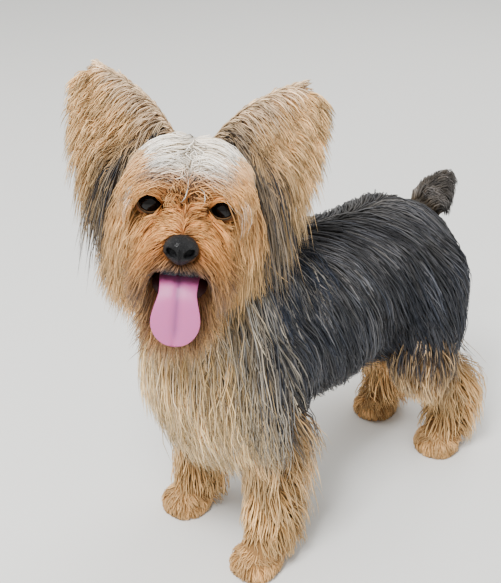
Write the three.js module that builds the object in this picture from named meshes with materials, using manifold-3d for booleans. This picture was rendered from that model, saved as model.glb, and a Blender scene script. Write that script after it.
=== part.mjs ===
// A Yorkshire terrier, life size, standing on four paws with its head turned to its left, mouth open and
// tongue out. Millimetres, +Z up. The dog faces -Y and its left side is +X. The origin is on the floor under
// the middle of the whole animal.
//
// Each part of the body is a core, found on one smooth field of rounded bones, with the long coat built on it
// as flat tapered locks that follow the lie of the hair. A core reaches at most half way to the tips.
import * as THREE from "three";
import { mergeVertices } from "three/addons/utils/BufferGeometryUtils.js";
import Module from "manifold-3d";

const wasm = await Module();
wasm.setup();

// Driving dimensions
const SEED = 7;
const GAP = 0.34; // clear space between two parts that meet
const ORIGIN = { x: 1.9, y: -13.9 }; // middle of the animal, in the frame that the skeleton is drawn in
const BLEND = 12; // how softly two bones of one field melt together
const PAWS = {
  fore_left: { x: 48, y: -96, side: 1 },
  fore_right: { x: -40, y: -88, side: -1 },
  hind_left: { x: 36, y: 112, side: 1 },
  hind_right: { x: -36, y: 116, side: -1 },
};
const HEAD = { at: [31, -137, 277], yaw: 49.3, pitch: 10.9, roll: 6.4 }; // between the eyes, turns in degrees
const EYE = { across: 21, up: 0, forward: -0.8, radius: 8.2, open: 9.6 };
const NOSE = { up: -19, forward: 36, across: 10, high: 8.6, deep: 8 };
const CORE = { torso: 6, neck: 9, head: 5, jaw: 3, leg: 3.5, tail: 4 }; // depth of coat inside a core
const COLOURS = {
  saddle: 0x3b3f49,
  chest: 0xb9a583,
  gold: 0xc4935c,
  crown: 0xcfc3b4,
  leg: 0xbf9663,
  nose: 0x17161a,
  eye: 0x1a120e,
  tongue: 0xcf8fb0,
  paw: 0x9a7458,
};

const V = (x, y, z) => new THREE.Vector3(x, y, z);
const mix = (a, b, t) => a + (b - a) * t;
const clamp01 = (t) => Math.min(1, Math.max(0, t));
const smooth = (a, b, x) => {
  const t = clamp01((x - a) / (b - a));
  return t * t * (3 - 2 * t);
};

// One stream of seeded random numbers, so that every run gives the same coat
let state = SEED;
function random() {
  state = (state * 1664525 + 1013904223) % 4294967296;
  return state / 4294967296;
}
const vary = (share) => 1 + share * (2 * random() - 1);

// The head's own axes: forward along the muzzle, left, and up
const yaw = THREE.MathUtils.degToRad(HEAD.yaw);
const pitch = THREE.MathUtils.degToRad(HEAD.pitch);
const roll = THREE.MathUtils.degToRad(HEAD.roll);
const FORWARD = V(Math.sin(yaw) * Math.cos(pitch), -Math.cos(yaw) * Math.cos(pitch), Math.sin(pitch));
const level = V(Math.cos(yaw), Math.sin(yaw), 0);
const upright = new THREE.Vector3().crossVectors(level, FORWARD).negate();
const LEFT = level.clone().multiplyScalar(Math.cos(roll)).addScaledVector(upright, -Math.sin(roll));
const UP = upright.clone().multiplyScalar(Math.cos(roll)).addScaledVector(level, Math.sin(roll));
const inHead = (left, up, forward) =>
  V(...HEAD.at).addScaledVector(LEFT, left).addScaledVector(UP, up).addScaledVector(FORWARD, forward);
const alongHead = (left, up, forward) =>
  V(0, 0, 0).addScaledVector(LEFT, left).addScaledVector(UP, up).addScaledVector(FORWARD, forward);

// Flesh: rounded bones from one point to another, with a radius at each end. wide narrows one across X.
const bones = { torso: [], neck: [], head: [], jaw: [], tail: [] };
const bone = (group, a, b, ra, rb, narrow = 1) => bones[group].push({ a, b, ra, rb, narrow });

function layTorso() {
  bone("torso", V(0, -74, 161), V(0, -15, 163), 51, 51, 1.1);
  bone("torso", V(0, -15, 165), V(0, 70, 171), 49, 43, 1.08);
  bone("torso", V(0, 70, 170), V(0, 90, 167), 43, 37, 1.05);
  bone("torso", V(0, -84, 168), V(0, -90, 148), 40, 34);
  for (const side of [-1, 1]) {
    bone("torso", V(side * 28, -74, 152), V(side * 36, -82, 130), 26, 19);
    bone("torso", V(side * 25, 84, 158), V(side * 30, 82, 126), 29, 24);
  }
}

function layNeckAndTail() {
  bone("neck", V(0, -78, 192), V(-6, -104, 250), 38, 28);
  bone("tail", V(0, 108, 184), V(0, 121, 205), 12, 9);
  bone("tail", V(0, 121, 205), V(0, 134, 215), 9, 7);
}

function layHead() {
  bone("head", inHead(0, 0, -48), inHead(0, 4, -28), 31, 29);
  bone("head", inHead(0, 4, -28), inHead(0, 2, -12), 28, 22);
  bone("head", inHead(0, -10, -12), inHead(0, -20, 24), 20, 12.5);
  for (const side of [-1, 1]) {
    bone("head", inHead(side * 17, -14, -34), inHead(side * 17, -14, -18), 17, 14);
    bone("head", inHead(side * 14, 9, -16), inHead(side * 17, 8, -8), 11, 8);
    bone("head", inHead(side * 8, -24, 8), inHead(side * 6, -26, 22), 9, 7.5);
  }
  bone("jaw", inHead(0, -38, -26), inHead(0, -49, 12), 14, 8.5);
}

function layLeg(name) {
  const paw = PAWS[name];
  const chain = name.startsWith("fore")
    ? [
        [V(paw.side * 36, -84, 132), 20],
        [V(paw.side * 41, mix(-80, paw.y, 0.2), 104), 15],
        [V(paw.x, paw.y + 8, 36), 10.5],
        [V(paw.x, paw.y + 3, 17), 10.5],
      ]
    : [
        [V(paw.side * 31, 82, 130), 25],
        [V(paw.side * 37, 76, 100), 18],
        [V(paw.x, paw.y + 10, 52), 10],
        [V(paw.x, paw.y + 3, 17), 10.5],
      ];
  bones[name] = [];
  for (let i = 1; i < chain.length; i++)
    bone(name, chain[i - 1][0], chain[i][0], chain[i - 1][1], chain[i][1]);
}

// Distance from a point to the skin of the named groups, negative inside
const to = new THREE.Vector3();
const span = new THREE.Vector3();
function boneDistance(p, { a, b, ra, rb, narrow }) {
  to.subVectors(p, a);
  span.subVectors(b, a);
  const t = clamp01(to.dot(span) / span.lengthSq());
  to.addScaledVector(span, -t);
  to.x *= narrow;
  return to.length() - mix(ra, rb, t);
}
function field(p, groups) {
  let d = 1e6;
  for (const group of groups)
    for (const one of bones[group]) {
      const e = boneDistance(p, one);
      const h = Math.max(BLEND - Math.abs(d - e), 0) / BLEND;
      d = Math.min(d, e) - (h * h * BLEND) / 4;
    }
  return d;
}
function outward(p, groups) {
  const e = 0.5;
  const at = (x, y, z) => field(V(p.x + x, p.y + y, p.z + z), groups);
  return V(at(e, 0, 0) - at(-e, 0, 0), at(0, e, 0) - at(0, -e, 0), at(0, 0, e) - at(0, 0, -e)).normalize();
}

// Solids
function toSolid(geometry) {
  const bare = new THREE.BufferGeometry().setAttribute("position", geometry.getAttribute("position"));
  bare.setIndex(geometry.index);
  const merged = mergeVertices(bare, 1e-4);
  return new wasm.Manifold(
    new wasm.Mesh({
      numProp: 3,
      vertProperties: new Float32Array(merged.attributes.position.array),
      triVerts: new Uint32Array(merged.index.array),
    }),
  );
}
const join = (solids) => solids.reduce((a, b) => a.add(b));
const largest = (solid) =>
  solid.decompose().reduce((a, b) => (Math.abs(b.volume()) > Math.abs(a.volume()) ? b : a));

// A closed surface through rings of points, capped at both ends by a middle point. The sides named in under
// are split along the other diagonal, so that the two faces of a thin bent piece are split alike.
function skinRings(rings, first, last, under = []) {
  const sides = rings[0].length;
  const points = [...rings.flat(), first, last];
  const faces = [];
  const at = (ring, side) => ring * sides + (side % sides);
  for (let r = 0; r < rings.length - 1; r++)
    for (let s = 0; s < sides; s++) {
      const [a, b, c, d] = [at(r, s), at(r, s + 1), at(r + 1, s + 1), at(r + 1, s)];
      if (under.includes(s)) faces.push(a, b, c, a, c, d);
      else faces.push(a, b, d, b, c, d);
    }
  const end = rings.length - 1;
  for (let s = 0; s < sides; s++) {
    faces.push(points.length - 2, at(0, s + 1), at(0, s));
    faces.push(points.length - 1, at(end, s), at(end, s + 1));
  }
  const geometry = new THREE.BufferGeometry().setFromPoints(points);
  geometry.setIndex(faces);
  const solid = toSolid(geometry);
  if (solid.volume() > 0) return solid;
  geometry.setIndex(faces.reverse());
  return toSolid(geometry);
}

// The core of a part: rings round an axis, each point of a ring moved out to where the field equals depth
const STRIDE = 2; // how finely the way out is searched
function core(groups, axis, { rings = 10, sides = 14, depth = 5, grow = 0, from = 0, until = 1 }) {
  const curve = new THREE.CatmullRomCurve3(axis);
  const reach = (origin, way) => {
    const inside = (far) => field(origin.clone().addScaledVector(way, far), groups) < depth + grow;
    let high = STRIDE;
    while (inside(high)) high += STRIDE;
    let low = high - STRIDE;
    for (let i = 0; i < 14; i++) {
      const middle = (low + high) / 2;
      if (inside(middle)) low = middle;
      else high = middle;
    }
    return origin.clone().addScaledVector(way, low);
  };
  const made = [];
  for (let r = 0; r < rings; r++) {
    const t = mix(from, until, r / (rings - 1));
    const centre = curve.getPoint(t);
    const ahead = curve.getTangent(t);
    const across = V(1, 0, 0).addScaledVector(ahead, -ahead.x).normalize();
    const over = new THREE.Vector3().crossVectors(ahead, across);
    const ring = [];
    for (let s = 0; s < sides; s++) {
      const turn = (2 * Math.PI * s) / sides;
      const way = across.clone().multiplyScalar(Math.cos(turn)).addScaledVector(over, Math.sin(turn));
      if (r === 0) way.addScaledVector(ahead, -0.9).normalize();
      if (r === rings - 1) way.addScaledVector(ahead, 0.9).normalize();
      ring.push(reach(centre, way));
    }
    made.push(ring);
  }
  const start = reach(curve.getPoint(from), curve.getTangent(from).negate());
  const finish = reach(curve.getPoint(until), curve.getTangent(until));
  return skinRings(made, start, finish);
}

// A flat tapered lock of hair along a path, broad way across the coat. grow makes its clearance twin.
// It has three sides: two meet in a ridge on the outside, and the third lies towards the skin.
const LOCK_SIDES = 3;
const STEEPEST = 1 / 12; // part of a turn from the broad way to the first edge
function lock(path, broad, { width, thick, grow = 0 }) {
  const rings = [];
  const count = path.length;
  for (let i = 0; i < count - 1; i++) {
    const t = i / (count - 1);
    const ahead = path[i + 1].clone().sub(path[Math.max(0, i - 1)]).normalize();
    const across = broad[i].clone().addScaledVector(ahead, -broad[i].dot(ahead)).normalize();
    const over = new THREE.Vector3().crossVectors(across, ahead);
    const fullness = Math.sqrt(1 - t) * mix(0.75, 1, smooth(0, 0.35, t));
    const half = (width / 2) * fullness + grow;
    const deep = (thick / 2) * fullness + grow;
    rings.push(
      Array.from({ length: LOCK_SIDES }, (_, s) => {
        const turn = 2 * Math.PI * (s / LOCK_SIDES - STEEPEST);
        return path[i]
          .clone()
          .addScaledVector(across, 1.15 * half * Math.cos(turn))
          .addScaledVector(over, 1.3 * deep * Math.sin(turn));
      }),
    );
  }
  const tip = path[count - 1].clone();
  if (grow) tip.addScaledVector(path[count - 1].clone().sub(path[count - 2]).normalize(), grow * 2);
  return skinRings(rings, path[0], tip, [LOCK_SIDES - 1]);
}

// Traces a lock over the body: it leaves the core, follows lie(p) along the skin and ends lift above it.
// groups is what it lies over, and cling says how much it holds to the body where the body falls away.
function traced(root, lie, { groups, length, sunk, lift, steps = 4, cling = 0.6 }) {
  const path = [];
  const broad = [];
  let p = root.clone();
  const stride = length / steps;
  for (let i = 0; i <= steps; i++) {
    const out = outward(p, groups);
    const height = mix(sunk, lift, Math.pow(i / steps, 0.7));
    const away = height - field(p, groups);
    p = p.clone().addScaledVector(out, away > 0 ? away : away * cling);
    path.push(p.clone());
    const way = lie(p);
    const rising = way.dot(out);
    const flat = way.clone().addScaledVector(out, -Math.min(0, rising) - cling * Math.max(0, rising));
    flat.normalize();
    broad.push(new THREE.Vector3().crossVectors(flat, out).normalize());
    p = p.clone().addScaledVector(flat, stride);
  }
  return { path, broad };
}

// A part: its core, its locks, and the same grown by the gap, which the parts made after it are cut clear of
const parts = {};
function makePart(name, makeCore, locks, colour, options = {}) {
  let solid = makeCore(0);
  let clear = makeCore(GAP);
  if (options.carve) solid = solid.subtract(options.carve);
  for (const one of locks) {
    solid = solid.add(lock(one.path, one.broad, one));
    clear = clear.add(lock(one.path, one.broad, { ...one, grow: GAP }));
  }
  if (options.seat) solid = solid.subtract(options.seat);
  for (const made of Object.values(parts)) solid = solid.subtract(made.clear);
  solid = largest(solid);
  parts[name] = { solid, clear: clear.add(solid), colour, rough: options.rough ?? 0.85 };
}

layTorso();
layNeckAndTail();
layHead();
Object.keys(PAWS).forEach(layLeg);
const BODY = ["torso", "neck", "head", "jaw"];

// Torso
const torsoAxis = [V(0, -84, 160), V(0, -40, 162), V(0, 20, 166), V(0, 60, 169), V(0, 92, 165)];
const torsoCore = (grow) =>
  core(["torso"], torsoAxis, { rings: 12, sides: 14, depth: CORE.torso, grow });

// The body's coat parts along the spine and runs back and down over the flanks, straight down on the chest
function bodyLie(p) {
  const side = Math.sign(p.x) || 1;
  const top = smooth(185, 218, p.z);
  const breast = smooth(-75, -110, p.y);
  return V(side * mix(0.12, 0.75, top), mix(mix(0.28, 0.9, top), -0.12, breast), -1).normalize();
}

function torsoLocks() {
  const made = [];
  const groups = ["torso", "neck"];
  // tiers from the spine down each flank: [height round the body in degrees from the top, length, lift]
  const tiers = [
    [10, 52, 11],
    [36, 58, 12],
    [64, 60, 13],
    [92, 58, 13],
  ];
  for (const side of [-1, 1])
    tiers.forEach(([turn, length, lift], tier) => {
      const count = tier > 2 ? 4 : 5;
      for (let i = 0; i < count; i++) {
        const t = (i + 0.5 + (tier % 2) * 0.35 + 0.2 * (random() - 0.5)) / (count + 0.6);
        const angle = THREE.MathUtils.degToRad(turn + 7 * (random() - 0.5));
        const centre = V(0, mix(-92, 104, t), 166);
        const way = V(side * Math.sin(angle), 0, Math.cos(angle));
        const root = centre.addScaledVector(way, 40);
        made.push({
          ...traced(root, bodyLie, {
            groups,
            length: length * vary(0.15),
            sunk: CORE.torso - 3.5,
            lift: lift * vary(0.12),
          }),
          width: 40 * vary(0.12),
          thick: 6,
        });
      }
    });
  // the long hair of the chest, which hangs between the forelegs
  for (let row = 0; row < 3; row++)
    for (let i = 0; i < 4; i++) {
      const across = (i - 1.5) * 23 + 4 * (random() - 0.5);
      const root = V(across, -118, 176 - row * 24 + 6 * (random() - 0.5));
      made.push({
        ...traced(root, () => V(across * 0.002, -0.1, -1).normalize(), {
          groups: ["torso"],
          length: mix(66, 58, row / 2) * vary(0.12),
          sunk: CORE.torso - 3.5,
          lift: 16 * vary(0.15),
          cling: 0.3,
        }),
        width: 28 * vary(0.15),
        thick: 5.5,
      });
    }
  // the skirt under the belly and behind the thighs
  for (const side of [-1, 1]) {
    for (let i = 0; i < 3; i++) {
      const root = V(side * 30, mix(-38, 46, i / 2), mix(118, 130, i / 2));
      made.push({
        ...traced(root, () => V(side * 0.1, 0.2, -1).normalize(), {
          groups: ["torso"],
          length: 36 * vary(0.15),
          sunk: CORE.torso - 3.5,
          lift: 9,
          cling: 0.1,
        }),
        width: 28,
        thick: 5,
      });
    }
    for (let i = 0; i < 3; i++) {
      const root = V(side * (8 + 15 * i), 124, 178 - i * 12);
      made.push({
        ...traced(root, () => V(side * 0.05, 0.18, -1).normalize(), {
          groups: ["torso"],
          length: 52 * vary(0.1),
          sunk: CORE.torso - 3.5,
          lift: 10,
          cling: 0.5,
        }),
        width: 20,
        thick: 5.5,
      });
    }
  }
  return made;
}

// Head, lower jaw, mouth
const headAxis = [inHead(0, 0, -46), inHead(0, -4, -25), inHead(0, -12, 0), inHead(0, -20, 22)];
const headCore = (grow) => core(["head"], headAxis, { rings: 10, sides: 16, depth: CORE.head, grow });
const jawAxis = [inHead(0, -39, -22), inHead(0, -43, -6), inHead(0, -49, 10)];
const jawCore = (grow) => core(["jaw"], jawAxis, { rings: 7, sides: 12, depth: CORE.jaw, grow });

const ball = (centre, radius, scale = [1, 1, 1], wide = 10, high = 7) => {
  const geometry = new THREE.SphereGeometry(radius, wide, high);
  geometry.scale(...scale);
  const place = new THREE.Matrix4().makeBasis(LEFT, UP, FORWARD);
  geometry.applyMatrix4(place).translate(centre.x, centre.y, centre.z);
  return toSolid(geometry);
};

function makeEye(name, side) {
  const centre = inHead(side * EYE.across, EYE.up, EYE.forward);
  const whole = (grow) => ball(centre, EYE.radius + grow);
  makePart(name, whole, [], COLOURS.eye, { rough: 0.08 });
}

// The opening in front of each eye
const sockets = () =>
  join(
    [-1, 1].map((side) => {
      const centre = inHead(side * (EYE.across + 2), EYE.up, EYE.forward + 7);
      return ball(centre, EYE.open, [1, 0.8, 1.2]);
    }),
  );

function makeNose() {
  const centre = inHead(0, NOSE.up, NOSE.forward);
  const nostrils = join(
    [-1, 1].map((side) => {
      const hole = inHead(side * 4.4, NOSE.up - 0.8, NOSE.forward + 7.2);
      return ball(hole, 3, [1.05, 0.85, 1.3], 6, 4);
    }),
  );
  const size = (grow) => [NOSE.across + grow, NOSE.high + grow, NOSE.deep + grow];
  makePart("nose", (grow) => ball(centre, 1, size(grow), 12, 8), [], COLOURS.nose, {
    carve: nostrils,
    rough: 0.35,
  });
}

// The tongue lies in the lower jaw, bends over its front and hangs, broad and thin, with a furrow
const TONGUE = { thick: 4.2, furrow: 0.9 };
function tongueSolid(grow) {
  const line = new THREE.CatmullRomCurve3([
    inHead(0, -37.5, -8),
    inHead(0, -37, 8),
    inHead(0, -39.5, 22),
    inHead(0, -48, 30),
    inHead(0, -62, 31.5),
    inHead(0, -76, 30.6),
  ]);
  const rings = [];
  const count = 12;
  const sides = 12;
  for (let i = 0; i < count; i++) {
    const t = i / (count - 1);
    const centre = line.getPoint(t);
    const ahead = line.getTangent(t);
    const over = new THREE.Vector3().crossVectors(LEFT, ahead).normalize();
    const taper = Math.sqrt(1 - Math.pow(smooth(0.7, 1.03, t), 2));
    const half = mix(8.5, 13, smooth(0.3, 0.75, t)) * taper + grow;
    rings.push(
      Array.from({ length: sides }, (_, s) => {
        const turn = (2 * Math.PI * s) / sides;
        const furrow = s === 3 ? TONGUE.furrow : 0;
        const deep = (TONGUE.thick / 2 - furrow) * Math.sin(turn) + grow * Math.sign(Math.sin(turn));
        return centre
          .clone()
          .addScaledVector(LEFT, half * Math.cos(turn))
          .addScaledVector(over, -deep);
      }),
    );
  }
  const under = Array.from({ length: sides / 2 }, (_, s) => s + sides / 2);
  return skinRings(rings, line.getPoint(0), inHead(0, -77.2 - grow, 30.5), under);
}

// Lids: a thick rim above and a thin one below each eye, and lips along the mouth
function rim(points, width, thick) {
  const path = new THREE.CatmullRomCurve3(points).getPoints(4);
  const broad = path.map(() => FORWARD.clone());
  return { path, broad, width, thick };
}
function headTrim() {
  const made = [];
  for (const side of [-1, 1]) {
    const c = side * EYE.across;
    const lid = (drop, out) => [
      inHead(c - side * 9, -1.5, 3),
      inHead(c - side * 4, drop, out),
      inHead(c + side * 4, drop, out - 1),
      inHead(c + side * 10, -1, -1),
    ];
    made.push(rim(lid(7.2, 7), 7, 3.4), rim(lid(-7.4, 6.4), 6, 3));
    const lip = [
      inHead(side * 1.5, -33, 29),
      inHead(side * 9, -34.5, 24),
      inHead(side * 14, -36, 8),
      inHead(side * 17, -38, -8),
    ];
    made.push(rim(lip, 7, 5));
  }
  return made;
}

// The hair of the head falls from a middle parting, over the brows and out and down over the cheeks
function headLie(p) {
  const from = p.clone().sub(V(...HEAD.at));
  const left = from.dot(LEFT);
  const up = from.dot(UP);
  const forward = from.dot(FORWARD);
  const side = Math.sign(left) || 1;
  const crown = smooth(14, 30, up);
  const front = smooth(-10, 25, forward);
  return alongHead(side * mix(mix(0.35, 0.75, front), 0.9, crown), -1, mix(-0.25, 0.1, crown)).normalize();
}
function headLocks() {
  const made = [];
  const over = ["head", "jaw"];
  const add = (left, up, forward, length, lift, width, cling = 0.3, lie = headLie) =>
    made.push({
      ...traced(inHead(left, up, forward), lie, {
        groups: over,
        length: length * vary(0.1),
        sunk: CORE.head - 3,
        lift: lift * vary(0.1),
        cling,
      }),
      width: width * vary(0.12),
      thick: 4.6,
    });
  for (const side of [-1, 1]) {
    // crown and brow, falling outward from the parting
    for (const [forward, length] of [
      [-44, 34],
      [-28, 34],
      [-13, 25],
    ])
      add(side * 5, 30, forward, length, 9, 17, 0.7);
    add(side * 12, 16, 2, 17, 8, 12, 0.6);
    // temples and cheeks in three tiers, each outside the one below it
    for (const [left, up, forward, length, lift] of [
      [34, 10, -24, 68, 20],
      [33, -2, -12, 60, 20],
      [30, -12, -4, 54, 20],
      [34, -8, -32, 70, 23],
      [30, -24, -18, 60, 23],
      [28, -22, -38, 62, 22],
      [24, -26, -6, 46, 21],
    ])
      add(side * left, up, forward, length, lift, 19, 0.2);
    // moustache, out and down from the sides of the muzzle
    for (const [left, up, forward, length, lift] of [
      [10, -12, 18, 36, 15],
      [14, -20, 10, 42, 17],
      [14, -25, 20, 30, 12],
    ])
      add(side * left, up, forward, length, lift, 12, 0.2, () =>
        alongHead(side * 0.85, -1, -0.15).normalize(),
      );
  }
  // nape, down over the neck
  for (let i = -1; i <= 1; i++)
    add(i * 17, 8, -78, 44, 12, 19, 0.4, () => alongHead(i * 0.2, -1, -0.25).normalize());
  return made;
}

function jawLocks() {
  const made = [];
  for (let i = -1; i <= 1; i++)
    for (const [forward, length] of [
      [8, 30],
      [-8, 40],
    ])
      made.push({
        ...traced(inHead(i * 9, -56, forward), () => alongHead(i * 0.12, -1, -0.12).normalize(), {
          groups: ["jaw"],
          length: length * vary(0.12),
          sunk: 0.5,
          lift: 12,
          cling: 0,
          steps: 3,
        }),
        width: 16,
        thick: 4.4,
      });
  return made;
}

// Ears: pricked cups, open to the front, with a fringe that falls from the outer edge
const EAR = { foot: [23, 15, -36], tip: [63, 68, -44], wide: 23, deep: 11, wall: 2.8 };
function earShell(side, { grow = 0, inner = 0 }) {
  const foot = inHead(side * EAR.foot[0], EAR.foot[1], EAR.foot[2]);
  const tip = inHead(side * EAR.tip[0], EAR.tip[1], EAR.tip[2]);
  const ahead = tip.clone().sub(foot).normalize();
  const front = FORWARD.clone().addScaledVector(LEFT, side * 0.25);
  front.addScaledVector(ahead, -front.dot(ahead)).normalize();
  const across = new THREE.Vector3().crossVectors(ahead, front);
  const rings = [];
  const count = 7;
  const sides = 10;
  for (let i = 0; i < count; i++) {
    const t = i / (count - 1);
    const centre = foot.clone().lerp(tip, t * (inner ? 0.95 : 1));
    const swell = Math.pow(Math.sin(Math.PI * mix(0.36, 0.965, t)), 0.8);
    const half = Math.max(0.6, EAR.wide * swell + grow - inner);
    const deep = Math.max(0.5, EAR.deep * swell + grow - inner);
    if (inner) centre.addScaledVector(front, inner * 0.9);
    rings.push(
      Array.from({ length: sides }, (_, s) => {
        const turn = (2 * Math.PI * s) / sides;
        const bulge = Math.sin(turn) < 0 ? 1 : inner ? 1.6 : 0.12;
        return centre
          .clone()
          .addScaledVector(across, half * Math.cos(turn))
          .addScaledVector(front, deep * bulge * Math.sin(turn));
      }),
    );
  }
  const base = rings[0][0].clone().lerp(rings[0][sides / 2], 0.5);
  return { solid: skinRings(rings, base, tip), across, front, foot, tip };
}
function earLocks(side) {
  const { across, front, foot, tip } = earShell(side, {});
  const outer = across.clone().multiplyScalar(across.dot(LEFT) * side > 0 ? 1 : -1);
  const made = [];
  const rows = 7;
  for (let i = 0; i < rows; i++) {
    const t = mix(0.12, 0.97, i / (rows - 1));
    const swell = Math.pow(Math.sin(Math.PI * mix(0.36, 0.965, t)), 0.8);
    const start = foot.clone().lerp(tip, t).addScaledVector(outer, EAR.wide * swell * 0.72);
    start.addScaledVector(front, -EAR.deep * swell * 0.5);
    const length = mix(66, 24, smooth(0, 1, t)) * vary(0.12);
    const first = outer.clone().addScaledVector(UP, mix(-0.6, 0.35, t)).normalize();
    const path = [0, 0.33, 0.66, 1].map((s) =>
      start
        .clone()
        .addScaledVector(first, length * s * (1 - 0.3 * s))
        .addScaledVector(V(0, 0, -1), length * 0.62 * s * s),
    );
    made.push({ path, broad: path.map(() => UP.clone()), width: 15, thick: 3.6 });
  }
  // a short tuft at the tip and two along the inner edge
  const crest = tip.clone().lerp(foot, 0.12);
  const ahead = tip.clone().sub(foot).normalize();
  for (const [back, lean] of [
    [0, 0.1],
    [0.2, -0.35],
  ]) {
    const start = crest.clone().lerp(foot, back).addScaledVector(front, -2.5);
    const way = ahead.clone().addScaledVector(outer, -lean).normalize();
    const path = [0, 0.35, 0.7, 1].map((s) => start.clone().addScaledVector(way, 17 * s));
    made.push({ path, broad: path.map(() => outer.clone()), width: 9, thick: 3.4 });
  }
  return made;
}
function makeEar(name, side) {
  const cup = earShell(side, { inner: EAR.wall }).solid;
  makePart(name, (grow) => earShell(side, { grow }).solid, earLocks(side), COLOURS.gold, {
    carve: cup,
    seat: headCore(GAP),
  });
}

// Neck: mostly under the coat of head and chest, with a ruff of its own
const neckAxis = [V(0, -80, 200), V(-3, -92, 225), V(-6, -102, 246)];
const neckCore = (grow) => core(["neck"], neckAxis, { rings: 5, sides: 10, depth: CORE.neck, grow });
function neckLocks() {
  const made = [];
  const count = 7;
  for (let i = 0; i < count; i++) {
    const turn = (2 * Math.PI * (i + 0.5)) / count;
    const root = V(-4 + 34 * Math.sin(turn), -94 - 34 * Math.cos(turn), 228);
    made.push({
      ...traced(root, (p) => V(0.15 * Math.sin(turn), -0.1 * Math.cos(turn) + 0.1, -1).normalize(), {
        groups: ["neck", "torso"],
        length: 66 * vary(0.1),
        sunk: CORE.neck - 4,
        lift: 16,
        cling: 0.75,
      }),
      width: 36,
      thick: 5.5,
    });
  }
  return made;
}

// Tail: short and carried high, its hair falling back from the end
const tailAxis = [V(0, 107, 182), V(0, 115, 195), V(0, 123, 206), V(0, 133, 214)];
const tailCore = (grow) => core(["tail"], tailAxis, { rings: 7, sides: 10, depth: CORE.tail, grow });
function tailLocks() {
  const made = [];
  for (let i = 0; i < 7; i++) {
    const t = i / 6;
    const side = i % 2 ? 1 : -1;
    const root = V(side * 8, mix(112, 135, t), mix(193, 213, t));
    made.push({
      ...traced(root, () => V(side * 0.25, 0.55, mix(-0.9, -0.5, t)).normalize(), {
        groups: ["tail"],
        length: 25 * vary(0.15),
        sunk: 2,
        lift: 8,
        cling: 0.1,
        steps: 3,
      }),
      width: 12,
      thick: 4.4,
    });
  }
  return made;
}

// Legs and paws
function legCore(name, grow) {
  const chain = bones[name];
  const axis = [chain[0].a, ...chain.map((one) => one.b)];
  axis[0] = axis[0].clone().lerp(axis[1], 0.1);
  return core([name], axis, { rings: 7, sides: 9, depth: CORE.leg, grow });
}
function legLocks(name) {
  const paw = PAWS[name];
  const made = [];
  const fore = name.startsWith("fore");
  const heights = fore ? [104, 78, 54] : [100, 76, 54];
  heights.forEach((height, row) => {
    const around = 4;
    for (let i = 0; i < around; i++) {
      const turn = (2 * Math.PI * (i + 0.5 * (row % 2))) / around;
      const way = V(Math.sin(turn), Math.cos(turn), 0);
      const behind = Math.max(0, way.y);
      const root = V(paw.side * 39, fore ? -84 : 90, height);
      const foot = V(paw.x, paw.y + (fore ? 5 : 9), height);
      root.lerp(foot, clamp01((104 - height) / 60)).addScaledVector(way, 13);
      made.push({
        ...traced(root, () => V(way.x * 0.3, way.y * 0.3 + behind * 0.25, -1).normalize(), {
          groups: [name],
          length: Math.min(height - 16, mix(42, 34, row / 2)) * vary(0.1),
          sunk: 0.6,
          lift: 10 + 8 * behind,
          cling: 0.15,
          steps: 3,
        }),
        width: 22,
        thick: 4.6,
      });
    }
  });
  return made;
}

// A paw: a pad, four toes and four claws, flat on the floor
function makePaw(name) {
  const paw = PAWS[name];
  const shape = (grow) => {
    const lumps = [];
    const put = (x, y, z, r, sx, sy, sz, sides) => {
      const geometry = new THREE.SphereGeometry(1, sides, sides - 2);
      geometry.scale(r * sx + grow, r * sy + grow, r * sz + grow).translate(paw.x + x, paw.y + y, z);
      lumps.push(toSolid(geometry));
    };
    put(0, 2, 8.8, 12, 1.05, 1, 0.95, 6);
    for (const [x, y] of [
      [-10, -8],
      [-3.6, -13],
      [3.6, -13],
      [10, -8],
    ]) {
      put(x, y, 5, 6.6, 0.85, 1.3, 1, 5);
      const claw = new THREE.ConeGeometry(1.7 + grow, 8 + grow, 3);
      claw.rotateX(Math.PI / 2 + 2.6).translate(paw.x + x, paw.y + y - 9.6, 4.6);
      lumps.push(toSolid(claw));
    }
    const floor = new THREE.BoxGeometry(80, 80, 30).translate(paw.x, paw.y, -15);
    return join(lumps).subtract(toSolid(floor));
  };
  makePart("paw_" + name, shape, [], COLOURS.paw);
}

makeEye("eye_left", 1);
makeEye("eye_right", -1);
makeNose();
makePart("tongue", tongueSolid, [], COLOURS.tongue, { rough: 0.35 });
makePart("lower_jaw", jawCore, jawLocks(), COLOURS.gold);
makeEar("ear_left", 1);
makeEar("ear_right", -1);
makePart("head", headCore, [...headTrim(), ...headLocks()], COLOURS.gold, { carve: sockets() });
makePart("torso", torsoCore, torsoLocks(), COLOURS.saddle);
makePart("neck", neckCore, neckLocks(), COLOURS.chest);
makePart("tail", tailCore, tailLocks(), COLOURS.saddle);
for (const name of Object.keys(PAWS)) {
  makePart("leg_" + name, (grow) => legCore(name, grow), legLocks(name), COLOURS.leg);
  makePaw(name);
}

// Scene
const dog = new THREE.Group();
for (const [name, { solid, colour, rough }] of Object.entries(parts)) {
  const made = solid.getMesh();
  const geometry = new THREE.BufferGeometry();
  geometry.setAttribute("position", new THREE.BufferAttribute(made.vertProperties, 3));
  geometry.setIndex(new THREE.BufferAttribute(made.triVerts, 1));
  const material = new THREE.MeshStandardMaterial({ color: colour, roughness: rough, metalness: 0 });
  const mesh = new THREE.Mesh(geometry, material);
  mesh.name = name;
  dog.add(mesh);
}
dog.position.set(ORIGIN.x * -1, ORIGIN.y * -1, 0);
export default dog;
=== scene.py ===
"""A life-size Yorkshire terrier that stands still with its head turned, its mouth open and its tongue out."""

import math

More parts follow.
